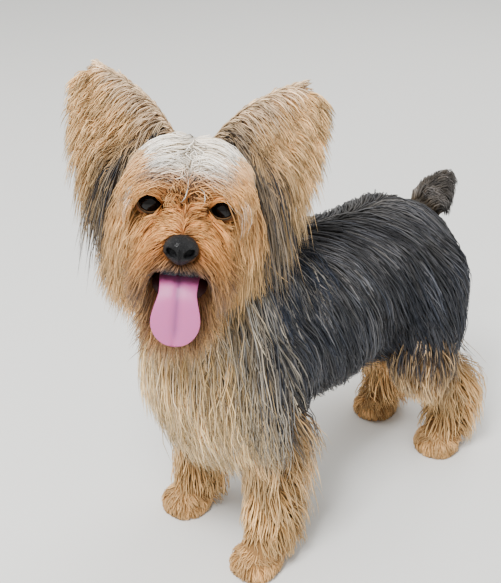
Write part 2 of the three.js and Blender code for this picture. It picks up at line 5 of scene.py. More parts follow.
import bpy
import numpy as np
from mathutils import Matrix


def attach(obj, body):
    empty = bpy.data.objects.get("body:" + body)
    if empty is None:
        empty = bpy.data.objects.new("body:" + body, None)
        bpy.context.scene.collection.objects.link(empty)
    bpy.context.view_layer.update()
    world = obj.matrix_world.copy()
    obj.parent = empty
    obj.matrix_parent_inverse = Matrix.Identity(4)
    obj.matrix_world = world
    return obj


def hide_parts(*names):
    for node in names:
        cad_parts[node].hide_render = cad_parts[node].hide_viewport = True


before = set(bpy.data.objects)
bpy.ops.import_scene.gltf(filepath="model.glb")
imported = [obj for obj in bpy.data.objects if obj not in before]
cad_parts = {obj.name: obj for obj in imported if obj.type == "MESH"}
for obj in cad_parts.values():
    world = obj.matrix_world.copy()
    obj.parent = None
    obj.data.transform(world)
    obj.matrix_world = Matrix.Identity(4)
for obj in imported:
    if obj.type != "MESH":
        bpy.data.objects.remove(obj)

import openvdb
from bpy.props import FloatProperty, IntProperty, PointerProperty, StringProperty
from mathutils import Matrix, Vector

bl_info = {
    "name": "Yorkshire Terrier",
    "version": (1, 0, 0),
    "blender": (4, 5, 0),
    "location": "View3D > Sidebar > Terrier",
    "description": "Builds the skin, the coat in fine tufts, the eyes, nose, tongue and claws of a terrier",
    "category": "Object",
}

# Lengths are in millimetres, in the frame that the skeleton is laid out in
# The dog faces -Y and its left is +X
MM = 0.001
MIDDLE = np.array([1.9, -13.9, 0.0])  # middle of the whole animal on the floor
BLEND = 12.0  # how softly two bones of one field melt together
SEED = 11
SUNK = -0.6  # how deep the root of a tuft sits in the skin
LOWEST = 0.6  # how far the lowest hair stays above the floor
PATCH = 0.003  # size of a tuft's patch on the unwrap
TUFT_SIDES = 3

HEAD_AT = np.array([31.0, -137.0, 277.0])  # between the eyes
HEAD_TURN = {"yaw": 49.3, "pitch": 10.9, "roll": 6.4}
EYE = {"across": 21.0, "up": 0.0, "forward": -0.8, "radius": 8.2}
EYE_OPENING = {"wide": 6.7, "high": 5.9, "low": 5.2}  # half width and heights of the gap between the lids
NOSE = {"up": -19.0, "forward": 36.0, "across": 10.0, "high": 8.6, "deep": 8.0}
EAR = {"foot": (23, 15, -36), "tip": (63, 68, -44), "wide": 22.0, "deep": 11.0, "wall": 2.4}
PAWS = {
    "fore_left": (48, -96, 1),
    "fore_right": (-40, -88, -1),
    "hind_left": (36, 112, 1),
    "hind_right": (-36, 116, -1),
}
SIDES = (("left", 1), ("right", -1))
TOES = ((-10, -8), (-3.6, -12.5), (3.6, -12.5), (10, -8))
LEG_LINES = (-90, 100)  # middle of the fore legs and of the hind legs along Y
NECK_AXIS = (-4.0, -92.0, 0.0)  # a point on the upright line through the neck
EAR_SKIN = (0.35, 0.6, 0.0, 0.2)  # markings of the bare ear: dark, gold, silver and grey
LIP_SKIN = (0.9, 0.3, 0.0, 0.0)
FLESH = ["head", "lower_jaw", "neck", "torso", "tail", "ear_left", "ear_right"]
FLESH += [part + name for name in PAWS for part in ("leg_", "paw_")]

# The camera that took in the whole dog, from ahead, above and to its left
CAMERA_AT = np.array([504.9, -501.5, 509.7])
CAMERA_TURN = {"azimuth": 48.95, "elevation": 25.89, "roll": -0.79}
FOCAL_PIXELS = 1097.65
PICTURE = (501, 583)
SENSOR = 36.0
AIM = (0.0, 0.0, 0.18)  # what the lights point at, in metres


def mix(a, b, t):
    return a + (b - a) * t


def smooth(a, b, x):
    t = np.clip((x - a) / (b - a), 0.0, 1.0)
    return t * t * (3.0 - 2.0 * t)


def unit(v):
    return v / np.maximum(np.linalg.norm(v, axis=-1, keepdims=True), 1e-9)


def dot(a, b):
    return (a * b).sum(-1)


def head_axes():
    """The head's own ways to the left, up and forward."""
    yaw, pitch, roll = (math.radians(HEAD_TURN[k]) for k in ("yaw", "pitch", "roll"))
    forward = np.array([math.sin(yaw) * math.cos(pitch), -math.cos(yaw) * math.cos(pitch), math.sin(pitch)])
    level = np.array([math.cos(yaw), math.sin(yaw), 0.0])
    upright = -np.cross(level, forward)
    left = math.cos(roll) * level - math.sin(roll) * upright
    up = math.cos(roll) * upright + math.sin(roll) * level
    return left, up, forward


LEFT, UP, FORWARD = head_axes()


def in_head(left, up, forward):
    return HEAD_AT + left * LEFT + up * UP + forward * FORWARD


def head_place(p):
    """Where points lie in the head's own axes: left, up and forward."""
    v = p - HEAD_AT
    return v @ LEFT, v @ UP, v @ FORWARD


def along_head(left, up, forward):
    return (
        np.multiply.outer(np.asarray(left, float), LEFT)
        + np.multiply.outer(np.asarray(up, float), UP)
        + np.multiply.outer(np.asarray(forward, float), FORWARD)
    )


def lay_bones():
    """Bones of the flesh: group, both ends, radius at each end, and how much each is narrowed across X."""
    bones = []

    def bone(group, a, b, ra, rb, narrow=1.0):
        bones.append((group, np.array(a, float), np.array(b, float), float(ra), float(rb), narrow))

    bone("torso", (0, -74, 161), (0, -15, 163), 51, 51, 1.1)
    bone("torso", (0, -15, 165), (0, 70, 171), 49, 43, 1.08)
    bone("torso", (0, 70, 170), (0, 90, 167), 43, 37, 1.05)
    bone("torso", (0, -84, 168), (0, -90, 148), 40, 34)
    for s in (-1, 1):
        bone("torso", (s * 28, -74, 152), (s * 36, -82, 130), 26, 19)
        bone("torso", (s * 25, 84, 158), (s * 30, 82, 126), 29, 24)
    bone("neck", (0, -78, 192), (-6, -104, 250), 38, 28)
    bone("tail", (0, 108, 184), (0, 121, 205), 11, 7)
    bone("tail", (0, 121, 205), (0, 134, 215), 7, 4)
    bone("head", in_head(0, 0, -48), in_head(0, 4, -28), 31, 29)
    bone("head", in_head(0, 4, -28), in_head(0, 2, -12), 28, 22)
    bone("head", in_head(0, -10, -12), in_head(0, -20, 24), 20, 12.5)
    for s in (-1, 1):
        bone("head", in_head(s * 17, -14, -34), in_head(s * 17, -14, -18), 17, 14)
        bone("head", in_head(s * 14, 9, -16), in_head(s * 17, 8, -8), 11, 8)
        bone("head", in_head(s * 8, -24, 8), in_head(s * 6, -26, 22), 9, 7.5)
        eye = in_head(s * EYE["across"], EYE["up"], EYE["forward"])
        bone("lids", eye, eye + 0.1 * FORWARD, EYE["radius"] + 1, EYE["radius"] + 1)
    bone("jaw", in_head(0, -38, -26), in_head(0, -49, 12), 14, 8.5)
    for name, (x, y, s) in PAWS.items():
        if name.startswith("fore"):
            chain = [((s * 36, -84, 132), 20), ((s * 41, mix(-80, y, 0.2), 104), 15)]
            chain += [((x, y + 8, 36), 10.5), ((x, y + 3, 17), 10.5)]
        else:
            chain = [((s * 31, 82, 130), 25), ((s * 37, 76, 100), 18)]
            chain += [((x, y + 10, 52), 10), ((x, y + 3, 17), 10.5)]
        for (a, ra), (b, rb) in zip(chain, chain[1:]):
            bone("leg_" + name, a, b, ra, rb)
        bone("paw_" + name, (x, y + 4, 10), (x, y - 2, 9), 11, 10.5)
        for toe_x, toe_y in TOES:
            knuckle = (x + toe_x * 0.85, y + toe_y + 4, 6.4)
            bone("paw_" + name, knuckle, (x + toe_x, y + toe_y - 2, 5.4), 5.6, 5.0)
    return bones


BONES = lay_bones()
LEGS = ["leg_" + name for name in PAWS]
FEET = ["paw_" + name for name in PAWS]
GROUPS = ["torso", "neck", "head", "jaw", "tail"] + LEGS + FEET


def bone_distance(p, bone):
    _, a, b, ra, rb, narrow = bone
    span = b - a
    t = np.clip(((p - a) @ span) / (span @ span), 0.0, 1.0)
    away = p - a - t[..., None] * span
    away[..., 0] *= narrow
    return np.linalg.norm(away, axis=-1) - mix(ra, rb, t)


def melt(d, e):
    """The lesser of two distances, softened where they are near each other."""
    h = np.maximum(BLEND - np.abs(d - e), 0.0) / BLEND
    return np.minimum(d, e) - h * h * BLEND / 4.0


def depth(p, groups):
    """Distance from points to the skin of some groups of bones, negative inside."""
    d = np.full(p.shape[:-1], 1e3)
    for bone in BONES:
        if bone[0] in groups:
            d = melt(d, bone_distance(p, bone))
    return d


def outward(p, groups):
    """The way out of the skin, from its depth at four corners 0.4 mm off."""
    corners = np.array([[1, -1, -1], [-1, -1, 1], [-1, 1, -1], [1, 1, 1]]) * 0.4
    slope = sum(depth(p + c, groups)[..., None] * c for c in corners)
    return unit(slope)


def nearest_group(p):
    return np.argmin([depth(p, [g]) for g in GROUPS], axis=0)


def region(p, *names):
    """1 where the nearest flesh is one of the named groups, and 0 elsewhere."""
    return np.isin(nearest_group(p), [GROUPS.index(name) for name in names]).astype(float)


# Meshes
def to_part(p):
    return (p - MIDDLE) * MM


def new_object(name, points, faces):
    """A smooth object from points in millimetres and one or several arrays of faces."""
    mesh = bpy.data.meshes.new(name)
    groups = [np.asarray(f, np.int32) for f in (faces if isinstance(faces, list) else [faces])]
    loops = np.concatenate([g.ravel() for g in groups])
    sizes = np.concatenate([np.full(len(g), g.shape[1], np.int32) for g in groups])
    mesh.vertices.add(len(points))
    mesh.vertices.foreach_set("co", to_part(np.asarray(points, float)).astype(np.float32).ravel())
    mesh.loops.add(len(loops))
    mesh.loops.foreach_set("vertex_index", loops)
    mesh.polygons.add(len(sizes))
    mesh.polygons.foreach_set("loop_start", np.concatenate([[0], np.cumsum(sizes)[:-1]]).astype(np.int32))
    mesh.polygons.foreach_set("use_smooth", np.full(len(sizes), True))
    mesh.update(calc_edges=True)
    mesh.validate()
    obj = bpy.data.objects.new(name, mesh)
    bpy.context.scene.collection.objects.link(obj)
    return obj


def give(obj, name, values):
    """A colour attribute on the points, which the materials read."""
    layer = obj.data.attributes.new(name, "FLOAT_COLOR", "POINT")
    layer.data.foreach_set("color", np.asarray(values, np.float32).ravel())


def place(obj, slot, material, *nodes):
    obj.data.materials.append(material)
    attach(obj, "root")
    if nodes:
        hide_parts(*nodes)
    return obj


def surface(groups, pitch):
    """The skin of some groups of bones as quads, meshed where the field is nought."""
    bones = [b for b in BONES if b[0] in groups]
    reach = max(max(b[3], b[4]) for b in bones) + 6
    low = np.min([np.minimum(b[1], b[2]) for b in bones], axis=0) - reach
    high = np.max([np.maximum(b[1], b[2]) for b in bones], axis=0) + reach
    axes = [np.arange(low[k], high[k] + pitch, pitch) for k in range(3)]
    grid = np.full([len(a) for a in axes], BLEND)
    for bone in bones:
        far = max(bone[3], bone[4]) + BLEND
        ends = np.array([np.minimum(bone[1], bone[2]) - far, np.maximum(bone[1], bone[2]) + far])
        cut = tuple(slice(*np.clip(np.searchsorted(axes[k], ends[:, k]), 0, len(axes[k]))) for k in range(3))
        here = np.stack(np.meshgrid(*[axes[k][cut[k]] for k in range(3)], indexing="ij"), -1)
        grid[cut] = melt(grid[cut], bone_distance(here, bone))
    volume = openvdb.FloatGrid(BLEND)
    volume.copyFromArray(grid)
    points, quads = volume.convertToQuads(isovalue=0.0)
    points = low + pitch * points.astype(float)
    for _ in range(2):
        points = points - outward(points, groups) * depth(points, groups)[:, None]
    return points, quads[:, ::-1].astype(np.int32)


def facing_out(points, faces):
    """Arrays of faces of one closed body, turned so that the first of them looks outwards."""
    a, b, c = (points[faces[0][:, k]] - points.mean(0) for k in range(3))
    return faces if dot(a, np.cross(b, c)).sum() > 0 else [f[:, ::-1] for f in faces]


def hoops(line, radius, over, across, sides=8):
    """Round rings of points about a line, with the radius and two ways across it at each point."""
    turn = np.linspace(0, 2 * np.pi, sides, endpoint=False)[None, :, None]
    way = np.cos(turn) * over[:, None] + np.sin(turn) * across[:, None]
    return line[:, None] + radius[:, None, None] * way


def joined(bodies):
    """Points and faces of several bodies, as those of one mesh."""
    starts = np.cumsum([0] + [len(points) for points, _ in bodies])
    faces = [f + start for (_, arrays), start in zip(bodies, starts) for f in arrays]
    return np.concatenate([points for points, _ in bodies]), faces


def rings_mesh(rings):
    """A closed body through rings of points (rings, sides, 3), with a fan on each end."""
    count, sides = rings.shape[:2]
    points = np.concatenate([rings.reshape(-1, 3), rings[0].mean(0)[None], rings[-1].mean(0)[None]])
    r, s = np.meshgrid(np.arange(count - 1), np.arange(sides), indexing="ij")
    here, beside = r * sides + s, r * sides + (s + 1) % sides
    quads = np.stack([here, beside, beside + sides, here + sides], -1).reshape(-1, 4)
    s = np.arange(sides)
    n = (s + 1) % sides
    first = np.stack([np.full(sides, count * sides), n, s], -1)
    base = (count - 1) * sides
    last = np.stack([np.full(sides, count * sides + 1), base + s, base + n], -1)
    return points, [quads, np.concatenate([first, last])]


def globe(centre, radii, wide, high):
    """A closed ball in the head's axes, its poles at the left and right."""
    lat = np.linspace(-np.pi / 2, np.pi / 2, high + 2)[1:-1]
    turn = np.linspace(0, 2 * np.pi, wide, endpoint=False)
    x = np.sin(lat)[:, None] + 0 * turn
    y, z = np.cos(lat)[:, None] * np.sin(turn), np.cos(lat)[:, None] * np.cos(turn)
    rings = np.asarray(centre) + along_head(x * radii[0], y * radii[1], z * radii[2])
    points, faces = rings_mesh(rings)
    points[-2] = centre - radii[0] * LEFT
    points[-1] = centre + radii[0] * LEFT
    return points, facing_out(points, faces)


def spline(knots, count):
    """Points spread along a smooth line through the knots."""
    knots = np.asarray(knots, float)
    padded = np.concatenate([[2 * knots[0] - knots[1]], knots, [2 * knots[-1] - knots[-2]]])
    at = np.linspace(0, len(knots) - 1, count)
    i = np.minimum(at.astype(int), len(knots) - 2)
    t = (at - i)[:, None]
    a, b, c, d = (padded[i + k] for k in range(4))
    return 0.5 * (2 * b + (c - a) * t + (2 * a - 5 * b + 4 * c - d) * t**2 + (3 * b - a - 3 * c + d) * t**3)


# Markings of skin and coat: how much of each colour grows at a place, with some painted shade and a painted
# highlight
# red: steel-blue saddle and painted shade about the mouth, green: gold, blue: silver, alpha: grey mixed into
# the cream of the chest
def markings(p, where):
    left, up, forward = head_place(p)
    y, z = p[:, 1], p[:, 2]
    mark = np.zeros((len(p), 4))
    if where == "head":
        wide = np.abs(left)
        crown = smooth(4, 28, up) * smooth(-66, -44, forward)
        middle = 1 - smooth(2, 13, wide)
        blaze = smooth(-12, 6, up) * middle * smooth(12, -2, forward)
        mark[:, 2] = np.clip(0.95 * crown * mix(0.12, 1, middle) + 0.8 * blaze, 0, 1)
        snout = smooth(-10, 8, forward) * smooth(26, 14, wide) * smooth(12, -4, up)
        brow = smooth(26, 18, up) * smooth(-2, 4, up) * smooth(-26, -16, forward)
        gold = mix(0.6, 0.95, np.maximum(snout, 0.5 * brow)) - 0.15 * smooth(24, 36, wide)
        mark[:, 1] = np.clip(gold - crown * mix(0.3, 0.6, middle) * (1 - brow), 0, 1)
        mark[:, 0] = smooth(-52, -80, forward) * smooth(-44, 4, up)
        # painted shade: the mouth corners darkened, partly the dark hair of the lips and partly the shade of
        # the lips
        mark[:, 0] += 0.5 * smooth(-24, -31, up) * smooth(17, 10, wide) * smooth(6, 14, forward)
        # painted shade: the lower muzzle and moustache darkened as if in shade
        mark[:, 0] += 0.5 * smooth(-16, -26, up) * smooth(-10, 6, forward)
        temple = smooth(26, 33, wide) * smooth(-14, 4, up) * smooth(-14, -28, forward)
        mark[:, 0] += 0.7 * temple
    elif where == "trunk":
        ahead = smooth(-78, -112, y + 0.25 * (z - 180))
        low = smooth(132, 92, z) * (1 - 0.6 * smooth(-60, -20, y) * smooth(60, 20, y))
        # painted highlight: a little less saddle on the top of the back, so that grey shows as the sheen of
        # light there
        mark[:, 0] = (1 - ahead) * (1 - low) * (1 - 0.05 * smooth(186, 212, z) * smooth(-100, -60, y))
        mark[:, 3] = ahead * 0.14 + 0.25 * low + 0.9 * mark[:, 0]
        neck = smooth(205, 240, z)
        behind = smooth(-98, -84, y)
        mark[:, 0] = np.clip(mix(mark[:, 0], behind, neck), 0, 1)
        mark[:, 1] = 0.4 * ahead * neck + 0.12 * ahead
    elif where == "tail":
        mark[:, 0] = 0.92
        mark[:, 3] = 0.3
    else:
        mark[:, 1] = mix(0.34, 0.5, smooth(40, 10, z))
        mark[:, 3] = 0.12 * smooth(60, 100, z)
        hind = smooth(0, 40, y)
        mark[:, 0] = mix(0.75 * smooth(108, 136, z), 0.9 * smooth(82, 122, z), hind)
    return np.clip(mark, 0, 1)


def field_of(p):
    """The name under which each point's markings are found."""
    names = ["trunk", "trunk", "head", "head", "tail"] + ["leg"] * (len(LEGS) + len(FEET))
    return np.array(names)[nearest_group(p)]


def grizzled(mark, rng):
    """Dark, grey and cream hairs side by side, as on the chest."""
    mark = mark.copy()
    mark[:, 0] = np.clip(mark[:, 0] + rng.normal(0, 0.2, len(mark)), 0, 1) * (mark[:, 0] > 0.1)
    mark[:, 3] = np.clip(mark[:, 3] + rng.normal(0, 0.22, len(mark)), 0, 1)
    return mark


def streaked(mark, rng):
    """Steel-blue hair with grey among it, and tan where the saddle ends."""
    mark = mark.copy()
    edge = (mark[:, 0] > 0.05) & (mark[:, 0] < 0.95)
    mark[:, 0] = np.clip(mark[:, 0] + edge * rng.normal(0, 0.35, len(mark)), 0, 1)
    grey = np.abs(rng.normal(0, 0.05, len(mark)))
    mark[:, 0] = np.where(mark[:, 0] > 0.9, mark[:, 0] - grey, mark[:, 0])
    return mark


def speckled(mark, rng):
    """Silver, gold and a few dark hairs side by side, as on the crown."""
    mark = mark.copy()
    mark[:, 2] = np.clip(mark[:, 2] + rng.normal(0, 0.22, len(mark)), 0, 1)
    mark[:, 0] = np.where(rng.random(len(mark)) < 0.04, 0.6, mark[:, 0])
    return mark


def dark_strands(mark, rng):
    """Near-black hair with a little gold left in it."""
    mark = mark.copy()
    mark[:, 0] = rng.uniform(0.6, 1.0, len(mark))
    return mark


# Materials
def linear(hex_colour):
    """An sRGB hex colour as linear red, green, blue and alpha."""
    parts = [int(hex_colour[i : i + 2], 16) / 255 for i in (1, 3, 5)]
    return [c / 12.92 if c <= 0.04045 else ((c + 0.055) / 1.055) ** 2.4 for c in parts] + [1.0]


def node(tree, kind, settings=None, inputs=None):
    """Adds a node: settings are its own properties, and an input is a value or another node's output."""
    made = tree.nodes.new(kind)
    for key, value in (settings or {}).items():
        setattr(made, key, value)
    for key, value in (inputs or {}).items():
        if isinstance(value, bpy.types.NodeSocket):
            tree.links.new(value, made.inputs[key])
        else:
            made.inputs[key].default_value = value
    return made


def fresh_material(name):
    material = bpy.data.materials.new(name)
    material.use_nodes = True
    material.node_tree.nodes.clear()
    return material, material.node_tree


def finish_material(tree, shader):
    node(tree, "ShaderNodeOutputMaterial", inputs={"Surface": shader.outputs["BSDF"]})


def blend_colour(tree, a, b, share):
    mixer = node(tree, "ShaderNodeMix", {"data_type": "RGBA"})
    for index, value in ((0, share), (6, a), (7, b)):
        if isinstance(value, bpy.types.NodeSocket):
            tree.links.new(value, mixer.inputs[index])
        else:
            mixer.inputs[index].default_value = value
    return mixer.outputs[2]


def bumped(tree, height, strength, distance):
    """Normals tilted by a height, with the distance in metres."""
    inputs = {"Strength": strength, "Distance": distance, "Height": height}
    return node(tree, "ShaderNodeBump", inputs=inputs).outputs["Normal"]


def marked_colour(tree, colours, strand=None):
    """The colour of skin or hair from its markings, and along each tuft from root to tip."""
    mark = node(tree, "ShaderNodeAttribute", {"attribute_name": "marking"})
    split = node(tree, "ShaderNodeSeparateColor", inputs={"Color": mark.outputs["Color"]})

    def hue(name):
        root = linear(getattr(colours, name))
        if strand is None:
            return root
        return blend_colour(tree, root, linear(getattr(colours, name + "_tip")), strand.outputs["Green"])

    colour = blend_colour(tree, hue("cream"), hue("gold"), split.outputs["Green"])
    colour = blend_colour(tree, colour, hue("silver"), split.outputs["Blue"])
    colour = blend_colour(tree, colour, hue("grey"), mark.outputs["Alpha"])
    return blend_colour(tree, colour, hue("saddle"), split.outputs["Red"])


def silky_hair(colours):
    """Long silky hair, brushed by use: a soft broad sheen, each tuft a little lighter or darker."""
    material, tree = fresh_material("silky_hair")
    given = node(tree, "ShaderNodeAttribute", {"attribute_name": "strand"})
    strand = node(tree, "ShaderNodeSeparateColor", inputs={"Color": given.outputs["Color"]})
    colour = marked_colour(tree, colours, strand)
    varied = node(tree, "ShaderNodeHueSaturation", inputs={"Color": colour, "Value": strand.outputs["Red"]})
    shader = node(
        tree,
        "ShaderNodeBsdfPrincipled",
        inputs={
            "Base Color": varied.outputs["Color"],
            "Roughness": 0.45,
            "Specular IOR Level": 0.25,
        },
    )
    finish_material(tree, shader)
    return material


def marked_skin(colours):
    """Dull skin with painted shade: darker than the hair on it so that gaps in the coat read as depth, with
    fine down as bump.
    """
    material, tree = fresh_material("downy_skin")
    colour = marked_colour(tree, colours)
    grain = node(tree, "ShaderNodeTexNoise", inputs={"Scale": 900.0, "Detail": 3.0})  # hairs about 1 mm apart
    bump = bumped(tree, grain.outputs["Fac"], 0.5, 0.0004)
    # painted shade: the skin's colour darkened to a little over half, as the shade under the hair
    shaded_skin = node(tree, "ShaderNodeHueSaturation", inputs={"Color": colour, "Value": 0.55})
    shader = node(
        tree,
        "ShaderNodeBsdfPrincipled",
        inputs={"Base Color": shaded_skin.outputs["Color"], "Roughness": 0.85, "Normal": bump},
    )
    finish_material(tree, shader)
    return material


def wet_surface(name, colour, roughness, coat, bump_scale=0.0, bump_depth=0.0, shine=0.5):
    """Wet flesh, horn or nose leather: one colour, a fine grain and a clear wet film over it."""
    material, tree = fresh_material(name)
    inputs = {"Base Color": linear(colour), "Roughness": roughness, "Specular IOR Level": shine}
    inputs.update({"Coat Weight": coat, "Coat Roughness": 0.12})
    if bump_scale:
        grain = node(tree, "ShaderNodeTexVoronoi", inputs={"Scale": bump_scale})
        inputs["Normal"] = bumped(tree, grain.outputs["Distance"], 0.6, bump_depth)
    finish_material(tree, node(tree, "ShaderNodeBsdfPrincipled", inputs=inputs))
    return material


# Tufts
def scatter(rng, points, faces, weight, count):
    """Roots spread over a surface of quads or triangles, as thick as weight says at each place."""
    tris = np.concatenate([faces[:, [0, 1, 2]], faces[:, [0, 2, 3]]]) if faces.shape[1] == 4 else faces
    a, b, c = (points[tris[:, k]] for k in range(3))
    share = np.linalg.norm(np.cross(b - a, c - a), axis=1) * weight((a + b + c) / 3)
    pick = rng.choice(len(tris), count, p=share / share.sum())
    u, v = rng.random((2, count, 1))
    over = (u + v) > 1
    u, v = np.where(over, 1 - u, u), np.where(over, 1 - v, v)
    return a[pick] + u * (b - a)[pick] + v * (c - a)[pick]


def comb(root, lie, over, length, lift, cling, steps, stray, rng):
    """Paths of tufts that leave the skin, follow the lie over it and end lift above it."""
    p = root.copy()
    length, lift, cling = (np.broadcast_to(v, len(root)).astype(float) for v in (length, lift, cling))
    wander = rng.normal(0, stray, (len(root), 3))
    paths, outs = [], []
    for i in range(steps + 1):
        t = i / steps
        out = outward(p, over)
        rise = t**0.7 * (1.25 - 0.45 * t * t)  # the tips bend back to rest on the coat
        away = SUNK + (lift - SUNK) * rise - depth(p, over)
        p = p + out * np.where(away > 0, away, away * cling)[:, None]
        paths.append(p)
        outs.append(out)
        way = unit(lie(p, t, root) + wander)
        leaving = dot(way, out)
        flat = unit(way - out * (np.minimum(0, leaving) + cling * np.maximum(0, leaving))[:, None])
        p = p + flat * (length / steps)[:, None]
    return np.stack(paths, 1), np.stack(outs, 1)


def waved(paths, outs, rng, size, turns):
    """Gives each tuft a loose wave of its own across its lie."""
    count, rings = paths.shape[:2]
    t = np.linspace(0, 1, rings)
    ahead = unit(np.gradient(paths, axis=1))
    across = unit(np.cross(ahead, outs))
    phase = rng.uniform(0, 2 * np.pi, (count, 1))
    swing = np.sin(phase + 2 * np.pi * turns * t * rng.uniform(0.7, 1.3, (count, 1))) - np.sin(phase)
    size = np.broadcast_to(size, count)[:, None] * rng.uniform(0.5, 1.4, (count, 1))
    return paths + across * (swing * t * size)[..., None]


def gathered(paths, root, rng, share, pull):
    """Draws the tufts towards the tips of a few of them, as hair gathers in locks, and gives back the lock of
    each tuft.
    """
    guides = rng.choice(len(paths), max(1, int(len(paths) * share)), replace=False)
    near = np.concatenate(
        [
            np.argmin(((part[:, None] - root[guides][None]) ** 2).sum(-1), axis=1)
            for part in np.array_split(root, max(1, len(root) // 1000))
        ]
    )
    t = np.linspace(0, 1, paths.shape[1])
    own = pull * rng.uniform(0.4, 1.0, (len(paths), 1))
    drawn = paths + (own * t**1.2)[..., None] * (paths[guides][near] - paths)
    return drawn, near


def tufts(name, paths, outs, width, thick, mark, patch, rng, shade, lock):
    """Closed tapering tufts as one mesh, with markings, strand colours and a patch each on the unwrap."""
    count, rings = paths.shape[:2]
    t = np.linspace(0, 1, rings)
    ahead = unit(np.gradient(paths, axis=1))
    across = unit(np.cross(ahead, outs))
    over = unit(np.cross(across, ahead))
    fullness = (mix(0.7, 1.0, smooth(0, 0.3, t)) * np.sqrt(np.clip(1 - t, 0, 1)) ** 0.9)[None, :-1]
    half, deep = (size[:, None] / 2 * fullness for size in (width, thick))
    body = paths[:, :-1]
    corners = []
    for k in range(TUFT_SIDES):
        turn = 2 * math.pi * (k / TUFT_SIDES - 1 / 12)
        corners.append(
            body
            + across[:, :-1] * (1.15 * half * math.cos(turn))[..., None]
            + over[:, :-1] * (1.3 * deep * math.sin(turn))[..., None]
        )
    ring = np.stack(corners, 2).reshape(count, -1, 3)
    points = np.concatenate([ring, paths[:, -1:]], 1)
    each = points.shape[1]
    r, s = np.meshgrid(np.arange(rings - 2), np.arange(TUFT_SIDES), indexing="ij")
    r, s = r.ravel(), s.ravel()
    n = (s + 1) % TUFT_SIDES
    a, b = r * TUFT_SIDES + s, r * TUFT_SIDES + n
    c, d = b + TUFT_SIDES, a + TUFT_SIDES
    # the underside is split the same way as the top, so that a bent tuft never crosses itself
    under = s == TUFT_SIDES - 1
    one = np.where(under[:, None], np.stack([a, b, c], -1), np.stack([a, b, d], -1))
    two = np.where(under[:, None], np.stack([a, c, d], -1), np.stack([b, c, d], -1))
    end = (rings - 2) * TUFT_SIDES
    s = np.arange(TUFT_SIDES)
    tip = np.stack([end + s, end + (s + 1) % TUFT_SIDES, np.full(TUFT_SIDES, each - 1)], -1)
    tri = np.concatenate([one, two, tip, [[2, 1, 0]]])
    faces = (tri[None] + (np.arange(count) * each)[:, None, None]).reshape(-1, 3)
    flat = points.reshape(-1, 3)
    a, b, c = (flat[tri[:, k]] for k in range(3))
    centre = points[0].mean(0)
    if dot(a - centre, np.cross(b - centre, c - centre)).sum() < 0:
        faces = faces[:, ::-1]
    obj = new_object(name, flat, faces)
    along = np.concatenate([np.repeat(t[:-1], TUFT_SIDES), [1.0]])
    tone = np.exp(rng.normal(0, shade, (count, 1)))
    tone = tone * np.exp(rng.normal(0, 1.1 * shade, (lock.max() + 1, 1)))[lock]
    strand = np.zeros((count, each, 4))
    strand[..., 0] = tone
    strand[..., 1] = along[None] ** 1.3
    give(obj, "marking", np.repeat(mark[:, None], each, 1))
    give(obj, "strand", strand)
    # each tuft's patch lies at its root's place on the unwrap
    side = np.concatenate([np.tile(np.arange(TUFT_SIDES) / TUFT_SIDES, rings - 1), [0.5]])
    corner = np.stack([side, along], -1)[None] - 0.5
    spot = np.clip(patch, 0.002, 0.998)[:, None, :] + PATCH * corner
    layer = obj.data.uv_layers.new(name="OFBake")
    layer.data.foreach_set("uv", spot.reshape(-1, 2)[faces.ravel()].astype(np.float32).ravel())
    return obj


# Unwraps of the skin's own shape, one for each region, from its root's place
def round_unwrap(p, centre, axis, start, low, high):
    """Round an axis by the angle from start, and along it by the distance."""
    axis = unit(np.asarray(axis, float))
    start = unit(np.asarray(start, float) - axis * (np.asarray(start, float) @ axis))
    side = np.cross(axis, start)
    v = p - np.asarray(centre, float)
    angle = np.arctan2(v @ side, v @ start) / (2 * np.pi) + 0.5
    return np.stack([angle, np.clip(((v @ axis) - low) / (high - low), 0, 1)], -1)


def keep_clear(paths):
    """Which tufts leave the eyes, the nose leather, the tongue and the open mouth free."""
    free = np.ones(len(paths), bool)
    left, up, forward = head_place(paths)
    for side in (-1, 1):
        a = (left - side * EYE["across"]) / (EYE_OPENING["wide"] + 0.6)
        b = (up - EYE["up"]) / (EYE_OPENING["high"] + 0.2)
        free &= ~((a * a + b * b < 1) & (forward > -6)).any(1)
    a, b = left / (NOSE["across"] - 0.6), (up - NOSE["up"]) / (NOSE["high"] - 0.6)
    free &= ~((a * a + b * b < 1) & (forward > NOSE["forward"] - 9)).any(1)
    gape = mix(18.0, 13.8, smooth(-46, -60, up))
    mouth = (np.abs(left) < gape) & (up < -36) & (up > -79) & (forward > 10)
    return free & ~mouth.any(1)


# Lie of the coat: the way that a hair from one root points at p, when t of its length lies behind it
def head_lie(p, t, root):
    left, up, forward = head_place(p)
    side = np.tanh(left / 2.5)
    high, front = smooth(6, 20, up), smooth(-10, 25, forward)
    parted = mix(1.9, 0.3, smooth(10, 27, np.abs(left)))
    out = side * mix(mix(0.35, 0.75, front), parted, high)
    return unit(along_head(out, np.full(len(p), -1.0), mix(-0.25, 0.1, high)))


def brow_lie(p, t, root):
    side = np.tanh(head_place(p)[0] / 2.0)
    rise = mix(0.75, -1.0, min(1.0, 1.3 * t))
    return unit(along_head(side * mix(0.8, 0.55, t), np.full(len(p), rise), np.full(len(p), 0.1)))


def arc_lie(p, t, root):
    """Up from the parting, over the brow and down beside the eye."""
    left, up, _ = head_place(p)
    side = np.sign(left)
    wide, high = np.abs(left) - 11, up - 2
    return unit(along_head(side * (high + 0.25 * wide), 0.25 * high - wide, np.full(len(p), -0.1)))


def muzzle_lie(p, t, root):
    left, up, _ = head_place(p)
    side = np.tanh(left / 4.0)
    top = smooth(-16, -6, up)
    return unit(along_head(side * mix(0.9, 0.8, top), mix(-1.0, -0.35, top), mix(-0.25, -0.8, top)))


def beard_lie(p, t, root):
    return unit(along_head(0.02 * head_place(p)[0], np.full(len(p), -1.0), np.full(len(p), -0.12)))


def chest_lie(p, t, root):
    return unit(np.stack([p[:, 0] * 0.004, np.full(len(p), -0.1), np.full(len(p), -1.0)], -1))


